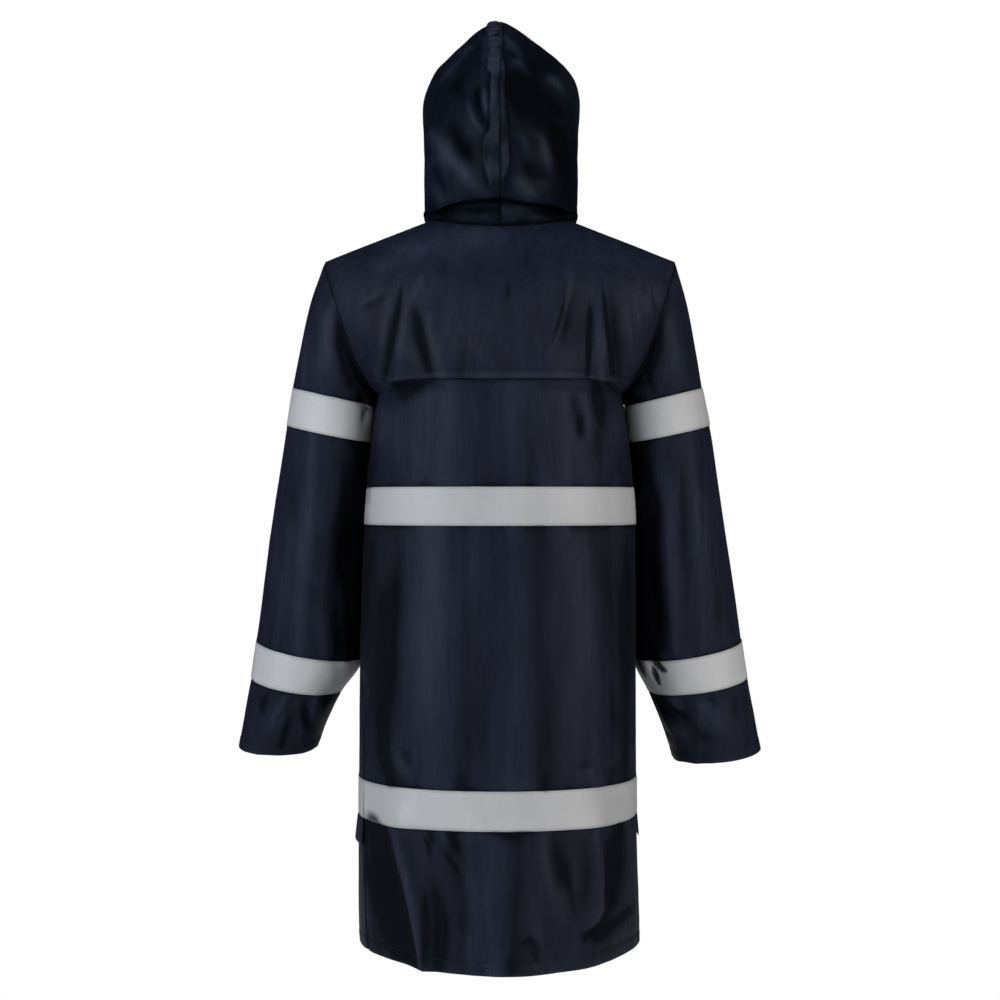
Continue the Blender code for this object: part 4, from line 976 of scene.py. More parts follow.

# Painted shade and light: as the creases, but the height is how much the painted shading changes
SHADES = {
    "back_panel": lines(
        (0.5, 15.3, 0, 138, -254, 138, -300, 140, -346),
        (0.35, 12.8, 0, -143, -254, -143, -300, -140, -346),
        (-0.8, 5.1, 2, 140, -225, 112, -228, 87, -225),
        (-1, 7.7, 2, -124, -229, -129, -244, -131, -257),
        (-0.8, 6.4, 0, -107, -263, -103, -283, -101, -303), (-0.9, 6.4, 2, -140, -225, -161, -237),
        (-1.3, 12.8, 1, 167, -443, 158, -485, 154, -556, 157, -632, 152, -699, 143, -741),
        (-0.9, 11.5, 1, -166, -415, -165, -505, -165, -632, -163, -741),
        (-0.5, 15.3, 0, 18, -568, 23, -658, 17, -741), (0.5, 15.3, 0, 87, -454, 92, -568, 96, -709),
        (0.35, 12.8, 0, 143, -505, 133, -607, 130, -671),
        (-0.6, 8.9, 0, -133, -339, -128, -300, -133, -275),
        (-2, 16.4, 2, 166, -797, 158, -855, 146, -912, 128, -958),
        (-1.6, 11.3, 1, 143, -832, 133, -880, 116, -949), (1, 5, 1, 141, -792, 123, -857, 99, -966),
        (-1.4, 5, 1, 96, -868, 94, -918, 96, -963), (-0.8, 5, 0, -82, -817, -89, -874, -97, -924),
        (-0.8, 11.3, 2, -153, -802, -153, -855, -148, -899),
        (-1.2, 10.1, 2, -126, -937, -141, -928, -166, -918),
        (-1, 3.1, 2, -106, -938, -126, -925, -143, -903),
        (-0.5, 10.1, 0, -113, -812, -111, -868, -93, -912),
        (-0.9, 6.3, 0, -24, -935, -38, -928, -52, -943),
        (-0.5, 10.1, 0, 60, -817, 48, -880, 43, -956), (-0.7, 3.1, 0, 75, -817, 60, -837, 48, -855),
        (-0.8, 2.8, 0, 101, -800, 91, -817, 87, -837), (0.6, 6.3, 0, 38, -817, 33, -880, 30, -949),
        (-0.7, 6.3, 2, 18, -797, -13, -802, -40, -797),
        (0.9, 3.1, 0, 172, -790, 171, -830, 172, -868),
    ),
    "back_yoke": lines(
        (-2, 2.3, 1, 127, -93, 136, -147, 149, -214),
        (0.8, 3.9, 0, 120, -106, 129, -164, 138, -212),
        (0.9, 4.5, 0, 98, -80, 109, -103, 120, -119),
        (-0.8, 6.5, 1, 111, -126, 103, -170, 92, -212), (0.5, 5.2, 0, 56, -144, 39, -173, 17, -203),
        (-0.6, 3.9, 0, -10, -93, -10, -121), (1, 3.4, 0, -93, -80, -85, -125, -68, -183),
        (-1.8, 3.4, 0, -88, -90, -79, -138, -63, -186),
        (-2.4, 2.5, 1, -116, -119, -115, -170, -114, -214),
        (0.9, 4.5, 1, -125, -125, -128, -170, -129, -214),
        (-2, 3.6, 1, -132, -90, -137, -151, -147, -214), (0.8, 18.1, 2, 155, -70, 90, -41, 26, -33),
        (0.5, 12.9, 0, -181, -119, -202, -108, -217, -95),
        (-0.4, 4.5, 0, 187, -132, 158, -116, 140, -101),
        (0.9, 2.6, 2, 93, -216, 0, -217, -106, -216),
        (-0.35, 20.7, 0, 165, -119, 158, -157, 150, -201),
        (-0.45, 28.4, 0, 98, -111, 96, -151, 90, -199),
        (-0.4, 33.6, 0, -96, -119, -97, -164, -98, -204),
        (-0.35, 23.3, 0, -171, -119, -168, -157, -158, -201),
    ),
    "sleeve_left": lines(
        (-1.5, 2.4, 0, 181, -246, 177, -256, 172, -265),
        (-1.5, 2.7, 0, 169, -238, 167, -257, 168, -270),
        (-2.2, 10.7, 1, 213, -150, 200, -180, 187, -212),
        (-0.9, 12, 2, 197, -377, 197, -470, 199, -576),
        (0.6, 6.6, 0, 262, -364, 268, -457, 275, -563),
        (-0.9, 6.6, 0, 256, -648, 262, -676, 266, -705),
        (0.8, 5.3, 0, 268, -645, 288, -667, 311, -688),
        (-0.9, 5.3, 0, 311, -631, 320, -648, 329, -667),
    ),
    "sleeve_right": lines(
        (-9, 2.5, 1, -199, -584, -209, -594, -224, -609),
        (-9, 2.3, 1, -207, -604, -212, -614, -219, -628),
        (-1, 6.7, 0, -183, -585, -193, -601, -203, -622),
        (-0.9, 4, 0, -225, -596, -227, -609, -227, -620),
        (-0.7, 2.1, 0, -184, -586, -193, -604, -203, -622),
        (-2.2, 10.7, 1, -213, -150, -200, -180, -187, -212),
        (-0.8, 2.4, 0, -179, -249, -181, -262, -187, -278),
        (-1, 13.3, 2, -206, -377, -210, -470, -218, -576),
        (0.6, 6.6, 0, -227, -350, -234, -457, -242, -563),
        (0.5, 6.6, 0, -275, -350, -283, -457, -290, -550),
        (-1.1, 5.3, 0, -210, -645, -234, -656, -258, -673),
        (-1.1, 5.3, 0, -227, -655, -246, -667, -263, -684),
        (-1, 6.6, 0, -221, -673, -228, -693, -239, -712),
        (0.8, 15.9, 0, -276, -651, -287, -680, -295, -706),
    ),
    "hood_left": lines(
        (0.6, 10.5, 2, 92, 112, 72, 78, 44, 44, 21, 19), (1.3, 7.8, 2, 17, 240, 14, 219, 12, 193),
        (0.45, 17, 2, 89, 68, 71, 36, 50, 15), (-0.7, 13.1, 0, 63, 133, 50, 87, 34, 52),
        (-0.6, 11.8, 0, 29, 211, 44, 190, 59, 162), (0.6, 7.8, 2, 39, 227, 59, 205, 78, 183),
        (-0.8, 5.2, 0, 30, 170, 29, 141, 22, 112), (0.7, 4.6, 0, 24, 164, 22, 138, 16, 120),
    ),
    "hood_right": lines(
        (-1, 34, 2, -39, 198, -46, 133, -78, 81, -85, 28),
        (-1.2, 13.1, 0, -18, 190, -24, 153, -26, 122), (1, 9.2, 0, -54, 102, -63, 81, -69, 52),
        (0.7, 7.8, 0, -44, 47, -60, 36, -73, 39), (1, 9.2, 2, -7, 238, -16, 222, -29, 206),
        (1, 9.2, 0, -59, 188, -73, 177, -86, 167), (0.9, 6.5, 0, -13, 204, -26, 196, -37, 185),
        (0.8, 10.5, 0, -18, 47, -31, 28, -44, 15),
    ),
}
# ---- nodes ----


def add_node(tree, kind, *values, settings={}, **named):
    """A node with its settings, its inputs each set to a value or joined to another's output."""
    node = tree.nodes.new(kind)
    for label, value in settings.items():
        setattr(node, label, value)
    sockets = [node.inputs[label.replace("_", " ")] for label in named]
    for socket, value in zip((*node.inputs[: len(values)], *sockets), (*values, *named.values())):
        if isinstance(value, bpy.types.NodeSocket):
            tree.links.new(value, socket)
        elif value is not None:
            socket.default_value = value
    return node


def new_tree(kind, name, inputs, outputs):
    """A node group with named inputs, as (name, kind, value), and named outputs."""
    tree = bpy.data.node_groups.new(name, kind)
    ids = {}
    for label, kind, value in inputs:
        socket = tree.interface.new_socket(label, in_out="INPUT", socket_type=f"NodeSocket{kind}")
        if value is not None:
            socket.default_value = value
        ids[label] = socket.identifier
    for label, kind in outputs:
        tree.interface.new_socket(label, in_out="OUTPUT", socket_type=f"NodeSocket{kind}")
    return tree, tree.nodes.new("NodeGroupInput").outputs, tree.nodes.new("NodeGroupOutput"), ids


def maths(tree, operation, *values, clamp=False):
    settings = {"operation": operation, "use_clamp": clamp}
    return add_node(tree, "ShaderNodeMath", *values, settings=settings).outputs[0]


def times(tree, first, second, clamp=False):
    return maths(tree, "MULTIPLY", first, second, clamp=clamp)


def fabric_noise(tree, vector, scale, detail, roughness=0.55):
    return add_node(tree, "ShaderNodeTexNoise", Vector=vector, Scale=scale, Detail=detail,
                    Roughness=roughness).outputs["Fac"]


def stretched(tree, vector, scale):
    return add_node(tree, "ShaderNodeMapping", Vector=vector, Scale=scale).outputs[0]


def attribute(tree, name):
    return add_node(tree, "ShaderNodeAttribute", settings={"attribute_name": name}).outputs["Fac"]


def ramp(tree, value, *stops):
    """Colours, or shares that make greys, at places along a value."""
    node = add_node(tree, "ShaderNodeValToRGB", value)
    band = node.color_ramp
    while len(band.elements) < len(stops):
        band.elements.new(0.5)
    for element, (at, colour) in zip(band.elements, stops):
        element.position = at
        element.color = (*(colour if isinstance(colour, tuple) else (colour,) * 3), 1)
    return node.outputs[0]


def mix_colour(tree, share, first, second, kind="MIX"):
    settings = {"data_type": "RGBA", "blend_type": kind}
    second = (*second, 1) if isinstance(second, tuple) else second
    return add_node(tree, "ShaderNodeMix", share, *[None] * 5, first, second,
                    settings=settings).outputs[2]


def use_group(tree, group, **named):
    return add_node(tree, "ShaderNodeGroup", settings={"node_tree": group}, **named).outputs


def bump(tree, height, strength, distance, after=None):
    return add_node(tree, "ShaderNodeBump", Height=height, Strength=strength, Distance=distance,
                    Normal=after).outputs[0]


# ---- finishes ----


def weave_group():
    """Plain weave under a coating: its height, from the cloth's own map in metres."""
    group, given, out, _ = new_tree("ShaderNodeTree", "Coated weave", [
        ("Cloth map", "Vector", None), ("Threads per metre", "Float", 2600.0),
        ("Unevenness", "Float", 0.3)], [("Height", "Float")])
    split = add_node(group, "ShaderNodeSeparateXYZ", given["Cloth map"])
    waves = []
    for axis in ("X", "Y"):
        turns = times(group, split.outputs[axis], given["Threads per metre"])
        waves.append(maths(group, "SINE", times(group, turns, math.pi)))
    slub = fabric_noise(group, stretched(group, given["Cloth map"], (900, 90, 1)), 1.0, 2)
    uneven = times(group, slub, given["Unevenness"])
    over = times(group, times(group, *waves), 0.5)
    group.links.new(maths(group, "ADD", over, uneven), out.inputs[0])
    return group


def crinkle_group():
    """Fine creasing and broad unevenness of coated nylon, in the object's own metres."""
    group, given, out, _ = new_tree("ShaderNodeTree", "Nylon crinkle", [
        ("Place", "Vector", None), ("Crinkles per metre", "Float", 70.0),
        ("Broad patches per metre", "Float", 9.0)],
        [(label, "Float") for label in ("Height", "Patches", "Specks", "Streaks")])
    crinkles = given["Crinkles per metre"]
    tall = stretched(group, given["Place"], (1.0, 1.0, 0.32))
    fine = fabric_noise(group, tall, crinkles, 3)
    folded = maths(group, "ABSOLUTE", maths(group, "SUBTRACT", fine, 0.5))
    height = maths(group, "SUBTRACT", 1.0, times(group, folded, 2.4))
    broad = fabric_noise(group, tall, given["Broad patches per metre"], 4, 0.6)
    specks = fabric_noise(group, given["Place"], 900.0, 2)
    long = stretched(group, given["Place"], (1.0, 1.0, 0.10))
    streaks = fabric_noise(group, long, crinkles, 4, 0.65)
    for socket, value in zip(out.inputs, (height, broad, specks, streaks)):
        group.links.new(value, socket)
    return group


def shading_and_wear_group():
    """How much painted highlight and rub a place has, on ridges and at free edges, broken up by
    patches, and how much painted shade lies in its hollows.
    """
    group, given, out, _ = new_tree("ShaderNodeTree", "Ridge and edge wear", [
        ("Tone", "Float", 0.0), ("Edge", "Float", 0.0), ("Patches", "Float", 0.5),
        ("Edge strength", "Float", 0.5)], [("Rubbed", "Float"), ("Sunk", "Float")])
    # Painted highlight on ridges, where the painted shading is above nought
    high = maths(group, "MAXIMUM", given["Tone"], 0.0)
    edge = times(group, given["Edge"], given["Edge strength"])
    broken = maths(group, "ADD", times(group, given["Patches"], 1.1), 0.25)
    # Painted highlight and real rub at free edges together, broken up by patches
    rubbed = times(group, maths(group, "ADD", high, edge), broken, clamp=True)
    # Painted shade in hollows, where the painted shading is below nought
    low = maths(group, "MINIMUM", given["Tone"], 0.0)
    group.links.new(rubbed, out.inputs["Rubbed"])
    group.links.new(times(group, low, -1.0, clamp=True), out.inputs["Sunk"])
    return group


def new_finish(name, roughness, metallic=0.0, specular=0.5):
    """A material, its tree, its shader, and the object's own metres."""
    finish = bpy.data.materials.new(name)
    finish.use_nodes = True
    tree = finish.node_tree
    shader = tree.nodes["Principled BSDF"]
    for label, value in (("Roughness", roughness), ("Metallic", metallic),
                         ("Specular IOR Level", specular)):
        shader.inputs[label].default_value = value
    place = tree.nodes.new("ShaderNodeTexCoord").outputs["Object"]
    return finish, tree, shader, place


def coat(tree, shader, **sources):
    """Join the shader's inputs to what feeds them."""
    for label, source in sources.items():
        tree.links.new(source, shader.inputs[label.replace("_", " ")])


def cloth_nodes(tree, place, crinkle={}, weave={}):
    """The cloth's map, crinkle and weave, with a finish's own values."""
    cloth_map = add_node(tree, "ShaderNodeUVMap", settings={"uv_map": "cloth"}).outputs[0]
    crinkle = use_group(tree, CRINKLE, Place=place, **crinkle)
    return cloth_map, crinkle, use_group(tree, WEAVE, Cloth_map=cloth_map, **weave)[0]


def coated_nylon(name, base, rubbed, sunk, roughness, specular):
    """Coated nylon: woven ground, crinkles, patches, painted highlight on ridges, rubbed edges and
    painted shade in hollows.
    """
    finish, tree, shader, place = new_finish(name, roughness, specular=specular)
    _, crinkle, weave = cloth_nodes(tree, place)
    shading_and_wear = use_group(tree, SHADING_AND_WEAR, Tone=attribute(tree, "tone"), Edge=attribute(tree, "edge"),
                     Patches=crinkle["Patches"])
    darker, lighter = (tuple(value * share for value in base) for share in (0.78, 1.2))
    ground = ramp(tree, crinkle["Patches"], (0.3, darker), (0.5, base), (0.72, lighter))
    # The sunk colour is painted shade in hollows; the rubbed colour is painted highlight on ridges
    # and real rub at free edges
    ground = mix_colour(tree, shading_and_wear["Sunk"], ground, sunk)
    ground = mix_colour(tree, shading_and_wear["Rubbed"], ground, rubbed)
    streak = ramp(tree, crinkle["Streaks"], (0.36, 0.84), (0.64, 1.17))
    speck = ramp(tree, crinkle["Specks"], (0.35, 0.9), (0.7, 1.1))
    ground = mix_colour(tree, 1.0, ground, streak, "MULTIPLY")
    gloss = maths(tree, "MULTIPLY_ADD", crinkle["Patches"], 0.22, roughness - 0.11)
    soft = bump(tree, crinkle["Height"], 0.42, 0.0018)
    coat(tree, shader, Base_Color=mix_colour(tree, 1.0, ground, speck, "MULTIPLY"),
         Roughness=maths(tree, "ADD", gloss, times(tree, shading_and_wear["Sunk"], 0.42)),
         Normal=bump(tree, weave, 0.25, 0.00012, soft))
    return finish


def reflective_tape(name, bright):
    """Light grey reflective tape: fine ribbed fabric, bead grain, duller rubbed edges."""
    finish, tree, shader, place = new_finish(name, 0.42)
    cloth_map, crinkle, weave = cloth_nodes(
        tree, place, {"Crinkles per metre": 45.0, "Broad patches per metre": 14.0},
        {"Threads per metre": 1300.0, "Unevenness": 0.5})
    beads = add_node(tree, "ShaderNodeTexVoronoi", Vector=cloth_map, Scale=1500.0)
    ground = ramp(tree, crinkle["Patches"], *(
        (at, (bright * share, bright * share, bright * share * 1.02))
        for at, share in ((0.30, 0.91), (0.52, 1.0), (0.75, 1.08))))
    grain = ramp(tree, beads.outputs["Distance"], (0.0, 1.06), (0.8, (0.88, 0.88, 0.89)))
    ground = mix_colour(tree, 1.0, ground, grain, "MULTIPLY")
    rubbed = times(tree, attribute(tree, "edge"), 0.55)
    ground = mix_colour(tree, rubbed, ground, (0.30, 0.30, 0.32))
    # Painted shade: the tape turns near black where the cloth's painted shading is dark, in its
    # creases
    folded = maths(tree, "MULTIPLY_ADD", attribute(tree, "tone"), -1.8, -0.80, clamp=True)
    soft = bump(tree, crinkle["Height"], 0.12, 0.0008)
    coat(tree, shader, Base_Color=mix_colour(tree, folded, ground, (0.05, 0.05, 0.058)),
         Roughness=maths(tree, "MULTIPLY_ADD", crinkle["Patches"], 0.2, 0.32),
         Normal=bump(tree, weave, 0.3, 0.00015, soft))
    return finish


def thread(name, base, shade):
    """Twisted sewing thread."""
    finish, tree, shader, place = new_finish(name, 0.6, specular=0.3)
    twist = fabric_noise(tree, place, 1600.0, 2)
    coat(tree, shader, Base_Color=ramp(tree, twist, (0.3, shade), (0.7, base)),
         Normal=bump(tree, twist, 0.4, 0.0002))
    return finish


def stud_metal(name):
    """Dark plated metal with fine turning marks and lighter rubbed patches."""
    finish, tree, shader, place = new_finish(name, 0.33, metallic=1.0)
    marks = fabric_noise(tree, stretched(tree, place, (300, 300, 2600)), 1.0, 3)
    patches = fabric_noise(tree, place, 260.0, 4)
    plate = ramp(tree, patches, (0.3, (0.07, 0.07, 0.078)), (0.6, (0.12, 0.12, 0.13)),
                 (0.8, (0.24, 0.24, 0.25)))
    coat(tree, shader, Base_Color=plate, Roughness=maths(tree, "MULTIPLY_ADD", patches, 0.3, 0.2),
         Normal=bump(tree, marks, 0.15, 0.0002))
    return finish


WEAVE, CRINKLE, SHADING_AND_WEAR = weave_group(), crinkle_group(), shading_and_wear_group()
# Each nylon: its colour, its colour under painted highlight and rub, its colour under painted
# shade, its roughness and its shine
NAVY = coated_nylon("navy coated nylon", (0.0126, 0.0156, 0.0322), (0.027, 0.031, 0.055),
                    (0.0030, 0.0036, 0.0082), 0.47, 0.11)
# The hood's nylon is the coat's nylon painted much darker, to stand in for shade
SHADED_HOOD_NAVY = coated_nylon("hood coated nylon", (0.0036, 0.0060, 0.0148), (0.028, 0.036, 0.058),
                         (0.0006, 0.0010, 0.0030), 0.44, 0.07)
REFLECTIVE = reflective_tape("reflective tape", 0.585)
# The sleeves' tape is the body's tape painted lighter, to stand in for light that the sleeves get
# less of
LIT_SLEEVE_REFLECTIVE = reflective_tape("sleeve reflective tape", 0.70)
NAVY_THREAD = thread("navy sewing thread", (0.030, 0.034, 0.050), (0.012, 0.014, 0.022))
TAPE_THREAD = thread("grey sewing thread", (0.46, 0.46, 0.48), (0.26, 0.26, 0.27))
STUD = stud_metal("dark plated metal")


def finish_with(piece, finish):
    piece.data.materials.clear()
    piece.data.materials.append(finish)


# ---- what repeats: stitches and press studs ----


def along_and_up(tree):
    """A turn that lays a shape's X along the attribute 'along' and its Z along 'up'."""
    turn = None
    for axis, pivot, name in (("X", "AUTO", "along"), ("Z", "X", "up")):
        read = add_node(tree, "GeometryNodeInputNamedAttribute",
                        settings={"data_type": "FLOAT_VECTOR"}, Name=name)
        turn = add_node(tree, "FunctionNodeAlignRotationToVector", Rotation=turn,
                        settings={"axis": axis, "pivot_axis": pivot},
                        Vector=read.outputs["Attribute"]).outputs["Rotation"]
    return turn


def place_each(tree, out, points, shape, finish, soft=False, **turn_and_size):
    """Put a shape at each point, then make it real, smooth or flat, and give it its finish."""
    made = add_node(tree, "GeometryNodeInstanceOnPoints", points, Instance=shape, **turn_and_size)
    steps = ["GeometryNodeRealizeInstances", *["GeometryNodeSetShadeSmooth"] * soft]
    for kind in steps:
        made = add_node(tree, kind, made.outputs[0])
    made = add_node(tree, "GeometryNodeSetMaterial", made.outputs[0], Material=finish)
    tree.links.new(made.outputs[0], out.inputs[0])


def stitch_tree():
    """Stitches of one thread, spaced evenly along seam paths."""
    tree, given, out, ids = new_tree("GeometryNodeTree", "Stitch row", [
        ("Seam paths", "Geometry", None), ("Stitch pitch", "Float", 0.0032),
        ("Stitch length", "Float", 0.0024), ("Thread width", "Float", 0.0006),
        ("Unevenness", "Float", 0.12), ("Seed", "Int", 4), ("Thread finish", "Material", None),
    ], [("Made", "Geometry")])
    curve = add_node(tree, "GeometryNodeMeshToCurve", given["Seam paths"])
    spaced = add_node(tree, "GeometryNodeResampleCurve", curve.outputs[0],
                      settings={"mode": "LENGTH"}, Length=given["Stitch pitch"])
    tangent = tree.nodes.new("GeometryNodeInputTangent").outputs[0]
    store = add_node(tree, "GeometryNodeStoreNamedAttribute", spaced.outputs[0], Name="along",
                     settings={"data_type": "FLOAT_VECTOR", "domain": "POINT"}, Value=tangent)
    bead = add_node(tree, "GeometryNodeMeshUVSphere", Radius=0.5, Segments=4, Rings=2)
    least = times(tree, given["Unevenness"], -1.0)
    uneven = add_node(tree, "FunctionNodeRandomValue", None, None, least, given["Unevenness"],
                      settings={"data_type": "FLOAT"}, Seed=given["Seed"])
    random = next(socket for socket in uneven.outputs if socket.type == "VALUE")
    twist = add_node(tree, "ShaderNodeCombineXYZ", Z=random)
    angles = add_node(tree, "FunctionNodeEulerToRotation", twist.outputs[0])
    turn = add_node(tree, "FunctionNodeRotateRotation", settings={"rotation_space": "LOCAL"},
                    Rotation=along_and_up(tree), Rotate_By=angles.outputs[0])
    width = given["Thread width"]
    size = add_node(tree, "ShaderNodeCombineXYZ", given["Stitch length"], width, width)
    place_each(tree, out, store.outputs[0], bead.outputs[0], given["Thread finish"], True,
               Rotation=turn.outputs[0], Scale=size.outputs[0])
    return tree, ids


def stud_tree():
    """A press stud at each point: a low cap with a rolled rim and a ring round its middle."""
    tree, given, out, ids = new_tree("GeometryNodeTree", "Press studs", [
        ("Places", "Geometry", None), ("Stud radius", "Float", STUD_RADIUS),
        ("Cap height", "Float", STUD_CAP), ("Rim thickness", "Float", STUD_RIM),
        ("Stud finish", "Material", None)], [("Made", "Geometry")])
    parts = tree.nodes.new("GeometryNodeJoinGeometry")
    radius, rim, cap = given["Stud radius"], given["Rim thickness"], given["Cap height"]

    def raise_up(shape, share):
        up = add_node(tree, "ShaderNodeCombineXYZ", Z=times(tree, cap, share))
        add = add_node(tree, "GeometryNodeTransform", shape, Translation=up.outputs[0])
        tree.links.new(add.outputs[0], parts.inputs[0])

    for share, top_share, deep, level in ((0.93, 0.90, 1.0, 0.0), (0.80, 0.66, 0.55, 0.95)):
        cone = add_node(tree, "GeometryNodeMeshCone", Vertices=40,
                        Radius_Bottom=times(tree, radius, share),
                        Radius_Top=times(tree, radius, top_share),
                        Depth=times(tree, cap, deep))
        raise_up(cone.outputs["Mesh"], level)
    for share, thin, level in ((0.93, 1.0, 0.75), (0.66, 0.5, 1.5), (0.30, 0.5, 1.42)):
        ring, bead = (
            add_node(tree, "GeometryNodeCurvePrimitiveCircle", Resolution=points,
                     Radius=times(tree, size, part)).outputs[0]
            for points, size, part in ((40, radius, share), (8, rim, thin)))
        tube = add_node(tree, "GeometryNodeCurveToMesh", ring, Profile_Curve=bead)
        raise_up(tube.outputs[0], level)
    place_each(tree, out, given["Places"], parts.outputs[0], given["Stud finish"],
               Rotation=along_and_up(tree))
    return tree, ids


def vector_attribute(mesh, name, values):
    store = mesh.attributes.new(name, "FLOAT_VECTOR", "POINT")
    store.data.foreach_set("vector", np.asarray(values, float).ravel())


def run_tree(name, mesh, tree, ids, **values):
    """A plain mesh from a tree of shapes, with its inputs set before it is first worked out."""
    start = into_scene(f"{name}_start", mesh)
    modifier = start.modifiers.new("shapes", "NODES")
    modifier.node_group = tree
    for label, value in values.items():
        modifier[ids[label.replace("_", " ")]] = value
    ready = start.evaluated_get(bpy.context.evaluated_depsgraph_get())
    made = bpy.data.meshes.new_from_object(ready)
    start.modifiers.clear()
    bpy.data.objects.remove(start, do_unlink=True)
    made.name = name
    for label in [a.name for a in made.attributes if a.name in ("along", "up")]:
        made.attributes.remove(made.attributes[label])
    return into_scene(name, made)


def set_stitches(name, stitches, finish, seed, pitch, length, width):
    mesh = bpy.data.meshes.new(f"{name}_paths")
    mesh.from_pydata(np.concatenate(stitches.points).tolist(), stitches.edges, [])
    vector_attribute(mesh, "up", np.concatenate(stitches.ups))
    return run_tree(name, mesh, *STITCH_TREE, Stitch_pitch=pitch, Stitch_length=length,
                    Thread_width=width, Unevenness=0.12, Seed=seed, Thread_finish=finish)


# ---- grids ----


def fill(marks, step):
    """Rising numbers through all the marks, no further apart than the step."""
    marks = sorted(set(round(mark, 6) for mark in marks))
    values = []
    for low, high in zip(marks[:-1], marks[1:]):
        count = max(math.ceil((high - low) / step - 1e-6), 1)
        values += list(np.linspace(low, high, count + 1)[:-1])
    return np.array(values + [marks[-1]])


def tape_marks(low, high, metre=1.0):
    """Rows at a tape's edges and stitches; metre is one metre in the rows' own numbering."""
    gaps = [gap * metre for gap in (-0.0022, -0.0008, 0.0, 0.0009, 0.0022, 0.0035, 0.006)]
    return [low + gap for gap in gaps] + [high - gap for gap in gaps]


def rows_of_body(first, last):
    """Heights below the armpit, and row numbers above it from the first to the last."""
    low_rows = fill([HEM, HEM + 0.0008, HEM + 0.002, FINE_TOP], 0.0036)
    marks = [row.height for row in POCKET_FLAP_ROWS] + [*POCKET_FLAP_MARKS]
    for top in BODY_TAPES.values():
        marks += tape_marks(top - TAPE_WIDTH, top)
    high_rows = fill([FINE_TOP, -ARMPIT_DROP + 1e-5, *marks], 0.0050)[1:-1]
    upper = fill([0, first, last, *(mark for mark in UPPER_MARKS if first <= mark <= last)], 0.18)
    upper = upper[(upper >= first - 1e-9) & (upper <= last + 1e-9)]
    return np.concatenate((low_rows, high_rows)), upper


# Where the grids have lines of their own: rows near the hem, at the pocket flaps' edges, at the
# yoke's edge and the storm flap's top, and columns at the seams, the storm flap and the pockets
FINE_TOP = -0.86
POCKET_FLAP_MARKS = (-0.8323, -0.8305, -0.7995)
STORM_TOP = ARMHOLE_ROWS - 1 + STORM_FLAP_TOP
UPPER_MARKS = (1.9, 2.0, 2.06, 2.14, 2.3, STORM_TOP, 11.93)
NEAR_SEAM = [COLUMNS - gap for gap in (0, 0.045, 0.1, 0.19, 0.3)]
BACK_COLUMNS = fill([0, *NEAR_SEAM], 0.125)
WHOLE_BACK_COLUMNS = np.concatenate((-BACK_COLUMNS[:0:-1], BACK_COLUMNS))
FLAP_MARKS = [0, 0.5, 0.86, 0.93, 0.97, 1.0, 1.03, 1.07]
POCKET_MARKS = [POCKET_FLAP_COLUMN + gap for gap in (0, 0.04, 0.1)]
FRONT_COLUMNS = fill([*FLAP_MARKS, *POCKET_MARKS, *NEAR_SEAM], 0.125)

# Gathers along seams and hems: height, pitch and reach
SEAM_PUCKER = (0.0007, 0.016, 0.010)
HEM_PUCKER = (0.0006, 0.024, 0.016)


def body_core(points):
    core = points.copy()
    core[..., :2] = 0
    core[..., 2] = np.minimum(core[..., 2], BODY_CORE_TOP)
    return core


def sleeve_core(points):
    return np.broadcast_to(points.mean(axis=1, keepdims=True), points.shape)


def hood_core(points):
    return np.broadcast_to(HOOD_CORE, points.shape)


def face_points(face, side, lower, upper, columns):
    below = [lower_points(lower, columns, face, side)] if len(lower) else []
    return np.concatenate([*below, upper_points(upper, columns, face, side)])


def whole_back(lower, upper):
    left, right = (face_points("back", side, lower, upper, BACK_COLUMNS) for side in SIDES)
    return np.concatenate((right[:, :0:-1], left), axis=1)


# ---- the pieces of cloth ----


def back_panel():
    lower, upper = rows_of_body(0, UNDERLAP_ROWS)
    rows = np.concatenate((lower, upper))
    cloth = Cloth("back_panel", whole_back(lower, upper), rows, WHOLE_BACK_COLUMNS, body_core,
                  {"first": SEAM_GROOVE, "last": SEAM_GROOVE})
    under = np.where(rows < 0, 0, rows)[:, None]
    from_middle = np.abs(cloth.columns)[None, :]
    # The panel sinks under the yoke, and draws in from the armholes
    sunk = 0.25 * smooth(-0.31, -0.208, cloth.base[..., 2]) + 0.75 * smooth(2.0, 2.9, under)
    sunk = UNDERLAP_DEPTH * sunk
    sunk = sunk * (1 - smooth(12.4, 13, from_middle) * (under < YOKE_ROW))
    cloth.base = cloth.base - sunk[..., None] * cloth.out
    inset = UNDERLAP_INSET * smooth(1.95, 2.3, under) * smooth(12, 13, from_middle)
    cloth.base[..., 0] -= inset * np.sign(cloth.base[..., 0])
    # Beneath the yoke it has the yoke's creases, and below it its own
    beneath = smooth(1.5, 2.4, under)
    cloth.crease(YOKE_CREASES, 1)
    cloth.rise *= beneath
    cloth.tone *= beneath
    below = Lift(cloth)
    cloth.crease(BACK_CREASES, 1)
    cloth.shade(SHADES["back_panel"])
    below.keep(1 - beneath)
    # Painted shade: the cloth is darker below about 0.8 m down, towards the hem
    cloth.tone -= 0.3 * smooth(-0.795, -0.81, cloth.base[..., 2])
    cloth.ripple(0.0007, (0.055, 0.4, 0.24), 11, 0.30)
    cloth.ripple(0.0004, (0.022, 0.3, 0.11), 12, 0.22)
    hem = smooth(-0.80, -0.90, cloth.base[..., 2])
    cloth.crumple(0.0009, (0.030, 0.3, 0.07), 13, 0.35 + 0.65 * hem, 0.10)
    gather_at_body_tapes(cloth, 21, 1 - beneath)
    shadow_beside_sleeves(cloth)
    cloth.pucker_edges(*SEAM_PUCKER, first=31, last=32)
    cloth.pucker_edges(*HEM_PUCKER, bottom=33)
    hem_turn(cloth, "bottom", BODY_HEM)
    return cloth


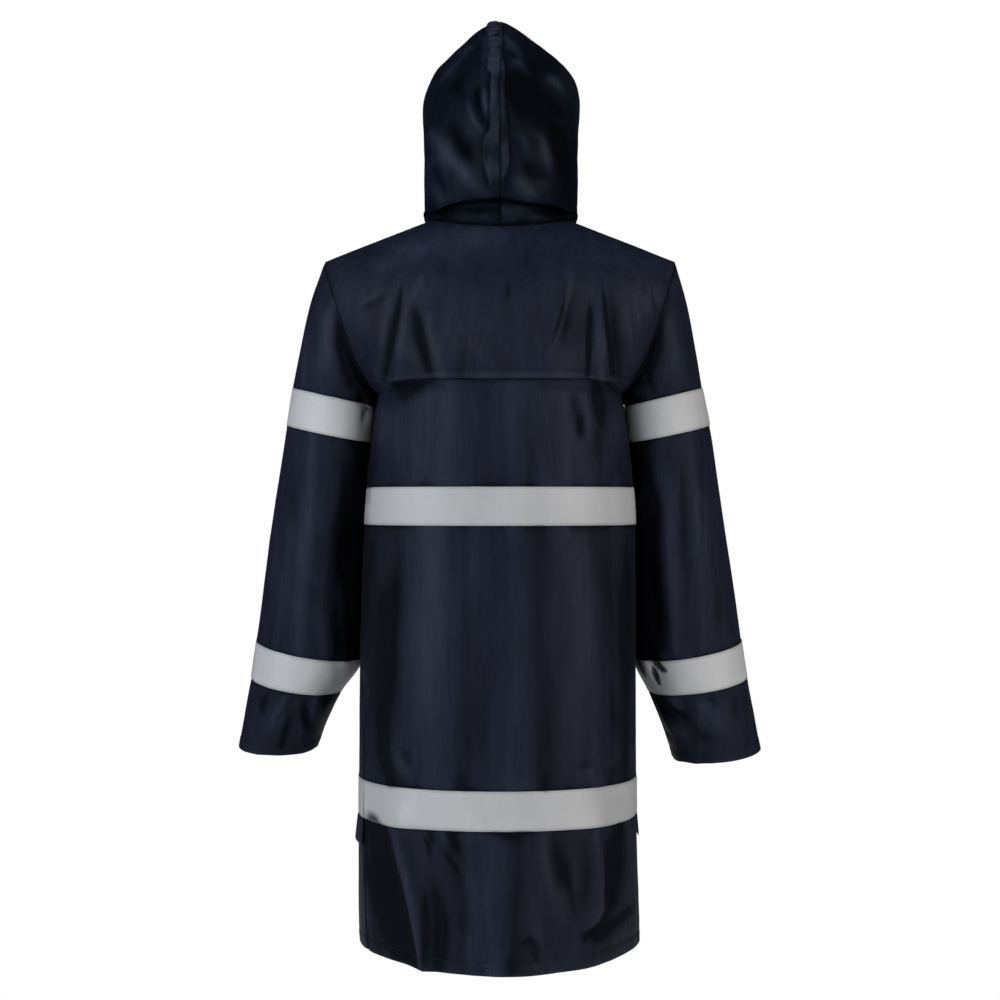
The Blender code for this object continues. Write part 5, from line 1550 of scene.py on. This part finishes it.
class Lift:
    """What was laid on a cloth before, so that what comes next can be scaled by itself."""

    def __init__(self, cloth):
        self.cloth, self.rise, self.tone = cloth, cloth.rise.copy(), cloth.tone.copy()

    def keep(self, share):
        self.cloth.rise = self.rise + (self.cloth.rise - self.rise) * share
        self.cloth.tone = self.tone + (self.cloth.tone - self.tone) * share


def hem_turn(cloth, edge, depth):
    """The cloth is double below a hem's stitches: a low step, and a dip along the stitches with
    painted shade in it.
    """
    gap = cloth.from_edge(edge)
    cloth.rise += 0.0005 * (1 - smooth(depth - 0.002, depth + 0.001, gap))
    cloth.rise -= 0.0003 * bell(gap - depth, 0.0016)
    cloth.tone -= 0.3 * bell(gap - depth, 0.002)


def gather_at_tape(cloth, gap, above, gathers, edge_shade, seed, mask=1.0):
    """Gathers above and below a tape, its own stiffness, and a line of painted shade round it."""
    cloth.rise *= 1 - TAPE_STIFFNESS * (1 - smooth(-0.004, 0.010, gap))
    before = Lift(cloth)
    cloth.pucker(np.maximum(gap, 0), cloth.run + np.where(above, 0.0, 3.0), *gathers, seed)
    before.keep((0.25 + 0.75 * smooth(-0.003, 0.002, gap)) * mask)
    cloth.tone -= TAPE_EDGE_SHADE * bell(gap, TAPE_EDGE_SHADE_REACH) * edge_shade


def gather_at_body_tapes(cloth, seed, mask=1.0):
    z = cloth.base[..., 2]
    for number, top in enumerate(BODY_TAPES.values()):
        middle = top - TAPE_WIDTH / 2
        gap = np.abs(z - middle) - TAPE_WIDTH / 2
        gather_at_tape(cloth, gap, z > middle, (0.0011, 0.017, 0.014), smooth(-0.003, 0.002, gap),
                       seed + number, mask)


def shadow_beside_sleeves(cloth):
    z = cloth.base[..., 2]
    beside = smooth(0.75, 0.98, np.abs(cloth.out[..., 0])) * smooth(-0.66, -0.56, z)
    cloth.tone -= 0.8 * beside * smooth(-0.21, -0.33, z)


def back_yoke():
    _, upper = rows_of_body(YOKE_ROW, ARMHOLE_ROWS)
    cloth = Cloth("back_yoke", whole_back([], upper), upper, WHOLE_BACK_COLUMNS, body_core,
                  dict.fromkeys(("first", "last", "top"), SEAM_GROOVE))
    share = np.interp(upper, YOKE_ROW + np.arange(5), YOKE_FLARE_SHARES)[:, None]
    reach = 1 - (cloth.base[..., 0] / cloth.base[:, -1:, 0]) ** 4
    cloth.base = cloth.base + (YOKE_FLARE * share * np.maximum(reach, 0))[..., None] * cloth.out
    cloth.crease(YOKE_CREASES, 1)
    cloth.shade(SHADES["back_yoke"])
    cloth.ripple(0.0006, (0.045, 0.08, 0.07), 14, 0.25)
    cloth.crumple(0.0005, (0.024, 0.05, 0.045), 15, 0.8, 0.12)
    cloth.pucker_edges(0.0008, 0.014, 0.011, first=34, last=35, top=36)
    cloth.pucker_edges(0.0006, 0.020, 0.010, bottom=37)
    hem_turn(cloth, "bottom", YOKE_HEM)
    return cloth


def front(side):
    lower, upper = rows_of_body(0, ARMHOLE_ROWS)
    points = face_points("front", side, lower, upper, FRONT_COLUMNS)
    cloth = Cloth(f"front_{side}", points, np.concatenate((lower, upper)), FRONT_COLUMNS,
                  body_core, {"first": 0.0, "last": SEAM_GROOVE, "top": SEAM_GROOVE})
    seed = 40 if side == "left" else 60
    cloth.crease(FRONT_CREASES[side], -1)
    cloth.ripple(0.0007, (0.055, 0.4, 0.24), seed, 0.30)
    cloth.crumple(0.0009, (0.028, 0.3, 0.06), seed + 1, 0.5, 0.10)
    gather_at_body_tapes(cloth, seed + 2)
    shadow_beside_sleeves(cloth)
    cloth.pucker_edges(*SEAM_PUCKER, last=seed + 4, top=seed + 5)
    cloth.pucker_edges(*HEM_PUCKER, bottom=seed + 6)
    hem_turn(cloth, "bottom", BODY_HEM)
    return cloth


def sleeve(side):
    marks = [0, 0.02, 0.05, 0.1, LAST_STATION, LAST_STATION - 0.012, LAST_STATION - 0.03]
    for low, high in ARM_TAPES.values():
        marks += tape_marks(low, high, 1 / 0.052)
    rows = fill(marks, 0.075)
    columns = np.arange(SLEEVE_POINTS * 6) / 6
    cloth = Cloth(f"sleeve_{side}", sleeve_points(side, rows, columns), rows, columns,
                  sleeve_core, {"bottom": SEAM_GROOVE}, ring=True)
    seed = 80 if side == "left" else 100
    other = "right" if side == "left" else "left"
    cloth.crease(SLEEVE_CREASES[side], 1)
    cloth.crease([mirrored(crease) for crease in SLEEVE_CREASES[other]], -1)
    cloth.shade(SHADES[cloth.name])
    cloth.ripple(0.0008, (0.035, 0.05, 0.14), seed, 0.30)
    low = smooth(7.0, 9.2, rows)[:, None]
    cloth.crumple(0.0011, (0.020, 0.03, 0.06), seed + 1, 0.5 + 0.5 * low, 0.14)
    # The valley between the sleeve's cap and the lower half of its armhole seam, with painted shade
    # in it
    z = cloth.base[..., 2]
    low_down = smooth(-0.10, -0.20, z) * smooth(-0.231, -0.219, z)
    low_down = low_down * smooth(0.0, 0.3, cloth.out[..., 1])
    valley = bell(cloth.from_edge("bottom") - 0.011, 0.0085) * low_down
    cloth.rise -= 0.0055 * valley
    cloth.tone -= 2.2 * valley
    # Its inner side lies in the body's shade, apart from the tapes
    inner = cloth.out[..., 0] * -MIRROR[side]
    beside_body = 1.2 * smooth(0.35, 0.85, inner) * smooth(-0.70, -0.60, z)
    cloth.tone -= beside_body
    along = cloth.along
    for number, (first, last) in enumerate(ARM_TAPES.values()):
        low_edge, high_edge = along[cloth.place_row(first)], along[cloth.place_row(last)]
        gap = np.maximum(low_edge - along, along - high_edge)
        cloth.tone += 0.85 * beside_body * (gap <= 0)
        gather_at_tape(cloth, gap, along < low_edge, (0.0013, 0.015, 0.013), gap > 0,
                       seed + 2 + number)
    cloth.pucker_edges(0.0012, 0.015, 0.016, bottom=seed + 5)
    cloth.pucker_edges(0.0008, 0.018, 0.012, top=seed + 6)
    hem_turn(cloth, "top", SLEEVE_HEM)
    return cloth


def mirrored(crease):
    return crease._replace(path=crease.path * (-1, 1))


def hood(side):
    last, band = len(HOOD_BOWS), HOOD_COLUMNS - 0.8
    rows = np.union1d(fill([0, 0.05, 0.12, 0.25, last, last - 0.03], 0.1),
                      fill([6.4, 10.3], 0.0375))
    columns = np.union1d(fill([0, band], 0.115), fill([band, HOOD_COLUMNS], 0.045))
    cloth = Cloth(f"hood_{side}", hood_points(side, rows, columns), rows, columns, hood_core,
                  {"bottom": SEAM_GROOVE, "first": 0.0, "last": CENTRE_SEAM_GROOVE})
    seed = 120 if side == "left" else 140
    cloth.crease(HOOD_CREASES[side], 1)
    cloth.shade(SHADES[cloth.name])
    # Painted light is softened more than painted shade
    cloth.tone *= np.where(cloth.tone > 0, 0.7, 0.9)
    cloth.ripple(0.0011, 0.050, seed, 0.28)
    cloth.crumple(0.0010, 0.026, seed + 1, 0.8, 0.14)
    centre_band(cloth, side, seed + 2)
    # The crushed fold that is tucked in above the neck seam behind: painted shadow lies under the
    #     overhang, and painted light and shade on its crumples
    tucked = smooth(3.05, 2.3, cloth.rows)[:, None] * smooth(5, 6.5, cloth.columns)[None, :]
    crushed = soft_noise(cloth.base + 5.1, (0.040, 0.030, 0.009), seed + 7)
    cloth.rise += 0.0022 * crushed * tucked
    cloth.tone += tucked * (-0.35 + 0.8 * crushed - 2.4 * smooth(2.35, 2.85, cloth.rows)[:, None])
    cloth.pucker_edges(0.0014, 0.016, 0.014, bottom=seed + 3)
    cloth.pucker_edges(0.0008, 0.020, 0.012, top=seed + 4)
    hem_turn(cloth, "top", HOOD_HEM)
    return cloth


def centre_band(cloth, side, seed):
    """The raised band of gathered cloth along the hood's centre seam: painted light on it, most at
    its top and on its gathers, and painted shade along its border.
    """
    gap = cloth.from_edge("last")
    height = cloth.base[..., 2]
    half = spline(*zip(*BAND_WIDTH[side]), height)
    behind = smooth(-0.2, 0.2, cloth.out[..., 1] + cloth.out[..., 2])
    present = smooth(0.024, 0.034, height) * behind
    band = smooth(1.10, 0.80, gap / half) * present
    top = smooth(0.174, 0.190, height)
    tight = top if side == "left" else 0.3 * top

    def swell(squeeze, pitch, reach, seed):
        return soft_noise(stack(cloth.along, gap * squeeze, 0 * gap), (pitch, reach, 1.0), seed)

    wave = swell(0.3, 0.0052, 0.012, seed)
    slow, small = swell(1, 0.022, 0.008, seed + 9), swell(1, 0.009, 0.004, seed + 5)
    border = bell(gap - half * (1.06 + 0.10 * slow), 0.0026) * present
    cloth.rise *= 1 - 0.7 * band
    cloth.rise += band * (0.0017 + 0.0026 * wave * tight + 0.0011 * slow + 0.0006 * small)
    cloth.rise -= 0.0008 * border
    # Painted light on the band and its gathers, and painted shade along its border
    cloth.tone += band * (0.45 + 0.75 * top + 1.2 * wave * tight + 0.45 * slow + 0.25 * small)
    cloth.tone -= 0.6 * border


# ---- what is sewn on ----


def sew_tape(node, cloth, low, high, columns=slice(None)):
    """A tape over the rows from low to high, stitched down along both edges."""
    rows = slice(cloth.place_row(low), cloth.place_row(high) + 1)
    made, top, way = lay_on(f"{node}_strip", cloth, rows, columns, TAPE, inset=TAPE_STITCH_INSET)
    along = cloth.along[rows, columns]
    for gap, order in ((along - along[:1], 1), (along[-1:] - along, -1)):
        sew(TAPE_STITCHES, top[::order], way[::order], gap[::order], TAPE_STITCH_INSET,
            closed=cloth.ring)
    return {node: made}


def sew(stitches, points, way, gap, inset, edge="bottom", keep=np.s_[:], closed=False,
        lift=TRIM_STITCH_LIFT):
    """Add a line of stitches, a given distance in from the first row or column of a grid."""
    points, ups = line_inside(points, way, gap, inset, edge)
    stitches.add((points + lift * ups)[keep], ups[keep], closed)


def all_tapes(cloths):
    made = {}
    for name, top in BODY_TAPES.items():
        made |= sew_tape(f"{name}_back", cloths["back_panel"], top - TAPE_WIDTH, top)
        for side in SIDES:
            front = cloths[f"front_{side}"]
            made |= sew_tape(f"{name}_front_{side}", front, top - TAPE_WIDTH, top,
                             slice(front.place_column(1.03), None))
    for side in SIDES:
        for name, (first, last) in ARM_TAPES.items():
            made |= sew_tape(f"{name}_{side}", cloths[f"sleeve_{side}"], first, last)
    return made


def storm_flap(cloths):
    """The strip over the closed fronts, the tapes that cross it, and where its studs sit."""
    right, left = cloths["front_right"], cloths["front_left"]
    last = left.place_column(1.0)
    rows = slice(0, left.place_row(STORM_TOP) + 1)

    def both(which):
        halves = getattr(right, which)[rows, last:0:-1], getattr(left, which)[rows, : last + 1]
        return np.concatenate(halves, axis=1)

    # The flap carries the fronts' painted light and shade, halved
    seat, way, tone = both("flat"), both("way"), 0.5 * both("tone")
    way[:, last] = unit(right.way[rows, 0] + left.way[rows, 0])
    across = np.cumsum(np.linalg.norm(np.diff(seat, axis=1), axis=-1), axis=1)
    across = np.insert(across, 0, 0, axis=1)
    along = left.along[rows, :1] + 0 * across
    right_gap, left_gap = across, across[:, -1:] - across
    drop = sum(FLAP_EDGE_ROLL * bell(gap, FLAP_EDGE_ROLL_REACH)
               + FLAP_STITCH_DIP * bell(gap - FLAP_STITCH_INSET, FLAP_STITCH_DIP_REACH)
               for gap in (right_gap, left_gap))
    wave = soft_noise(stack(along, across, 0 * along), (0.05, 0.03, 1.0), 161)
    lift = LIFT + 0.0004 + 0.0004 * wave * smooth(0.0, 0.004, np.minimum(right_gap, left_gap))
    low = seat + lift[..., None] * way
    high = low + (FLAP - drop)[..., None] * way
    edge = edge_rub(right_gap, left_gap, along, along[-1:] - along)
    uv = stack(across, along)
    # Painted light and shade also follow the flap's waves
    made = wall("storm_flap_strip", high, low, left.inside_out, False, uv, tone + 0.3 * wave, edge)
    for gap, order in ((right_gap, 1), (left_gap, -1)):
        sew(NAVY_STITCHES, high[:, ::order], way[:, ::order], gap[:, ::order], FLAP_STITCH_INSET,
            "first")
    under = copy(left)
    under.flat, under.way, under.tone, under.uv = high, way, 0 * tone, uv
    under.along, under.across = along, across
    strips = {}
    for name, top in BODY_TAPES.items():
        strips |= sew_tape(f"{name}_flap", under, top - TAPE_WIDTH, top)
    return made, strips, high, way


def press_studs(high, way):
    """One stud at each solid's place, square to the flap under it."""
    places = []
    for number in range(STUD_COUNT):
        centre = np.array([list(corner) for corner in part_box(f"press_stud_{number + 1}")]).mean(0)
        gap = np.linalg.norm(high - centre, axis=-1)
        nearest = np.unravel_index(np.argmin(gap), gap.shape)
        seat, up = high[nearest], way[nearest]
        flat_centre = centre - ((centre - seat) @ up) * up
        places.append((flat_centre + STUD_LIFT * up, unit(np.cross((0, 0, 1.0), up)), up))
    centres, alongs, ups = zip(*places)
    mesh = bpy.data.meshes.new("stud_places")
    mesh.from_pydata([tuple(centre) for centre in centres], [], [])
    vector_attribute(mesh, "along", alongs)
    vector_attribute(mesh, "up", ups)
    return run_tree("press_studs", mesh, *stud_tree(), Stud_radius=STUD_RADIUS,
                    Cap_height=STUD_CAP, Rim_thickness=STUD_RIM, Stud_finish=STUD)


def pocket_flap(cloth, side):
    """A flap sewn just under the low tape, whose free edge stands away from the front."""
    first, last = (cloth.place_row(POCKET_FLAP_ROWS[end].height) for end in (0, -1))
    rows, columns = slice(first, last + 1), slice(cloth.place_column(POCKET_FLAP_COLUMN), None)
    stand = at_height(POCKET_FLAP_ROWS, cloth.rows[rows], "stand")[:, None]
    along, across = cloth.along[rows, columns], cloth.across[rows, columns]
    stand = stand * (1 + 0.3 * soft_noise(stack(across, 0 * across, 0 * across), 0.03, 171))
    made, high, way = lay_on(f"pocket_flap_{side}_strip", cloth, rows, columns, FLAP, stand,
                             FLAP_EDGE_ROLL)
    across = across - across[:, :1]
    keep = (across[0] > 0.005) & (across[0] < across[0, -1] - 0.002)
    for gap, order, inset in ((along - along[:1], 1, FLAP_STITCH_INSET),
                              (along[-1:] - along, -1, SEAM_STITCH_INSET)):
        sew(NAVY_STITCHES, high[::order], way[::order], gap[::order], inset, keep=keep)
    return made


def stitch_inside(cloth, edge, inset, keep=np.s_[:]):
    turned = {"top": np.s_[::-1], "last": np.s_[:, ::-1]}.get(edge, np.s_[:])
    sew(NAVY_STITCHES, cloth.points[turned], cloth.way[turned], cloth.from_edge(edge)[turned],
        inset, edge, keep, cloth.ring, CLOTH_STITCH_LIFT)


# ---- the whole coat ----


def ride(piece, nodes, slot, finish=None):
    if finish is not None:
        finish_with(piece, finish)
    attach(piece, "root")
    if nodes:
        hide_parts(*nodes)


NAVY_STITCHES, TAPE_STITCHES = Stitches(), Stitches()

cloths = [back_panel(), back_yoke(), *(make(side) for side in SIDES
                                        for make in (front, sleeve, hood))]
cloths = {cloth.name: cloth for cloth in cloths}
share_ways(cloths.values(), "out")
for name, cloth in cloths.items():
    cloth.settle({"sleeve": 0.008, "hood": 0.005}.get(name.split("_")[0], 0.010))
share_ways(cloths.values(), "way")
made = {name: make_cloth(cloth) for name, cloth in cloths.items()}
trims = all_tapes(cloths)
flap, flap_tapes, flap_top, flap_way = storm_flap(cloths)
trims |= flap_tapes
studs = press_studs(flap_top, flap_way)
pockets = {f"pocket_flap_{side}": pocket_flap(cloths[f"front_{side}"], side) for side in SIDES}
flaps = {"storm_flap": flap, **pockets}

yoke = cloths["back_yoke"]
stitch_inside(yoke, "bottom", YOKE_HEM)
stitch_inside(yoke, "top", NECK_STITCH_INSET)
stitch_inside(cloths["back_panel"], "bottom", BODY_HEM)
for side in SIDES:
    hood_half = cloths[f"hood_{side}"]
    stitch_inside(cloths[f"front_{side}"], "bottom", BODY_HEM)
    stitch_inside(cloths[f"sleeve_{side}"], "top", SLEEVE_HEM)
    stitch_inside(hood_half, "top", HOOD_HEM)
    stitch_inside(hood_half, "last", SEAM_STITCH_INSET, hood_half.rows > ABOVE_TUCK)
    for edge in ("first", "last") if side == "left" else ():
        stitch_inside(yoke, edge, SEAM_STITCH_INSET)

for name, piece in made.items():
    hooded = name.startswith("hood")
    ride(piece, [name], "hood_cloth" if hooded else "navy_cloth", SHADED_HOOD_NAVY if hooded else NAVY)
for name, piece in trims.items():
    ride(piece, [name], "reflective_tape", LIT_SLEEVE_REFLECTIVE if "arm" in name else REFLECTIVE)
for name, piece in flaps.items():
    ride(piece, [name], "navy_cloth", NAVY)
ride(studs, [f"press_stud_{number + 1}" for number in range(STUD_COUNT)], "stud_metal")

STITCH_TREE = stitch_tree()
# Each thread's seed, then the pitch, length and width of its stitches
for name, stitches, finish, slot, *sizes in (
    ("navy_stitches", NAVY_STITCHES, NAVY_THREAD, "navy_cloth", 4, 0.0032, 0.0024, 0.0006),
    ("tape_stitches", TAPE_STITCHES, TAPE_THREAD, "reflective_tape", 5, 0.0030, 0.0022, 0.00055),
):
    ride(set_stitches(name, stitches, finish, *sizes), [], slot)


# ---- the stage, the lights and the camera ----

VIEW_DISTANCE = 2.6
VIEW_HEIGHT = -0.377
FLOOR = -1.50
FLOOR_REACH = 30.0


def seen_apart(tree, to_light, to_camera, out):
    """Join an output to one shader for the light and to another for what the camera sees."""
    seen = tree.nodes.new("ShaderNodeLightPath").outputs["Is Camera Ray"]
    both = add_node(tree, "ShaderNodeMixShader", seen, to_light.outputs[0], to_camera.outputs[0])
    tree.links.new(both.outputs[0], out.inputs[0])


def stage_finish(name, colour):
    """Pale, even and bright to the camera, but a plain matt floor to the light."""
    finish = bpy.data.materials.new(name)
    finish.use_nodes = True
    tree = finish.node_tree
    tree.nodes.remove(tree.nodes["Principled BSDF"])
    seen_apart(tree, add_node(tree, "ShaderNodeBsdfDiffuse", (*colour, 1)),
               tree.nodes.new("ShaderNodeEmission"), tree.nodes["Material Output"])
    return finish


def add_floor():
    mesh = bpy.data.meshes.new("floor")
    corners = ((-1, -1), (1, -1), (1, 1), (-1, 1))
    mesh.from_pydata([(x * FLOOR_REACH, y * FLOOR_REACH, FLOOR) for x, y in corners], [],
                     [(0, 1, 2, 3)])
    floor = into_scene("floor", mesh)
    finish_with(floor, stage_finish("pale floor", (0.8, 0.8, 0.8)))


def add_light(name, place, target, size, power, colour):
    lamp = bpy.data.lights.new(name, "AREA")
    lamp.shape, lamp.size, lamp.size_y = "RECTANGLE", *size
    lamp.energy, lamp.color = power, colour
    obj = into_scene(name, lamp)
    obj.location = place
    way = np.array(target) - np.array(place)
    obj.rotation_euler = Vector(way).to_track_quat("-Z", "Y").to_euler()


def add_world(strength, colour):
    world = bpy.data.worlds.new("studio")
    bpy.context.scene.world = world
    world.use_nodes = True
    tree = world.node_tree
    tree.nodes.clear()
    seen_apart(tree, add_node(tree, "ShaderNodeBackground", (*colour, 1), strength),
               add_node(tree, "ShaderNodeBackground", (1, 1, 1, 1)),
               tree.nodes.new("ShaderNodeOutputWorld"))


add_floor()
add_world(0.03, (0.90, 0.93, 1.0))
# Name, place, target, size, power and colour
for light in (
    ("key", (2.7, 2.1, 0.9), (0.0, 0.0, -0.45), (2.8, 2.6), 78, (0.90, 0.95, 1.0)),
    ("fill", (-2.7, 2.2, 0.8), (0.0, 0.0, -0.45), (2.8, 2.6), 64, (1.0, 0.97, 0.93)),
    ("behind camera", (0.3, 3.6, 2.2), (0.0, 0.0, -0.20), (2.2, 1.6), 18, (0.97, 0.98, 1.0)),
    ("front", (0.0, -3.4, 0.0), (0.0, 0.0, -0.45), (0.9, 1.6), 38, (1.0, 0.99, 0.97)),
):
    add_light(*light)

lens = bpy.data.cameras.new("camera")
lens.lens, lens.sensor_width = 68.83, 36.0
camera = into_scene("camera", lens)
camera.location = (0.0, VIEW_DISTANCE, VIEW_HEIGHT)
camera.rotation_euler = (math.pi / 2, 0.0, math.pi)
bpy.context.scene.camera = camera
bpy.context.scene.view_settings.view_transform = "Standard"
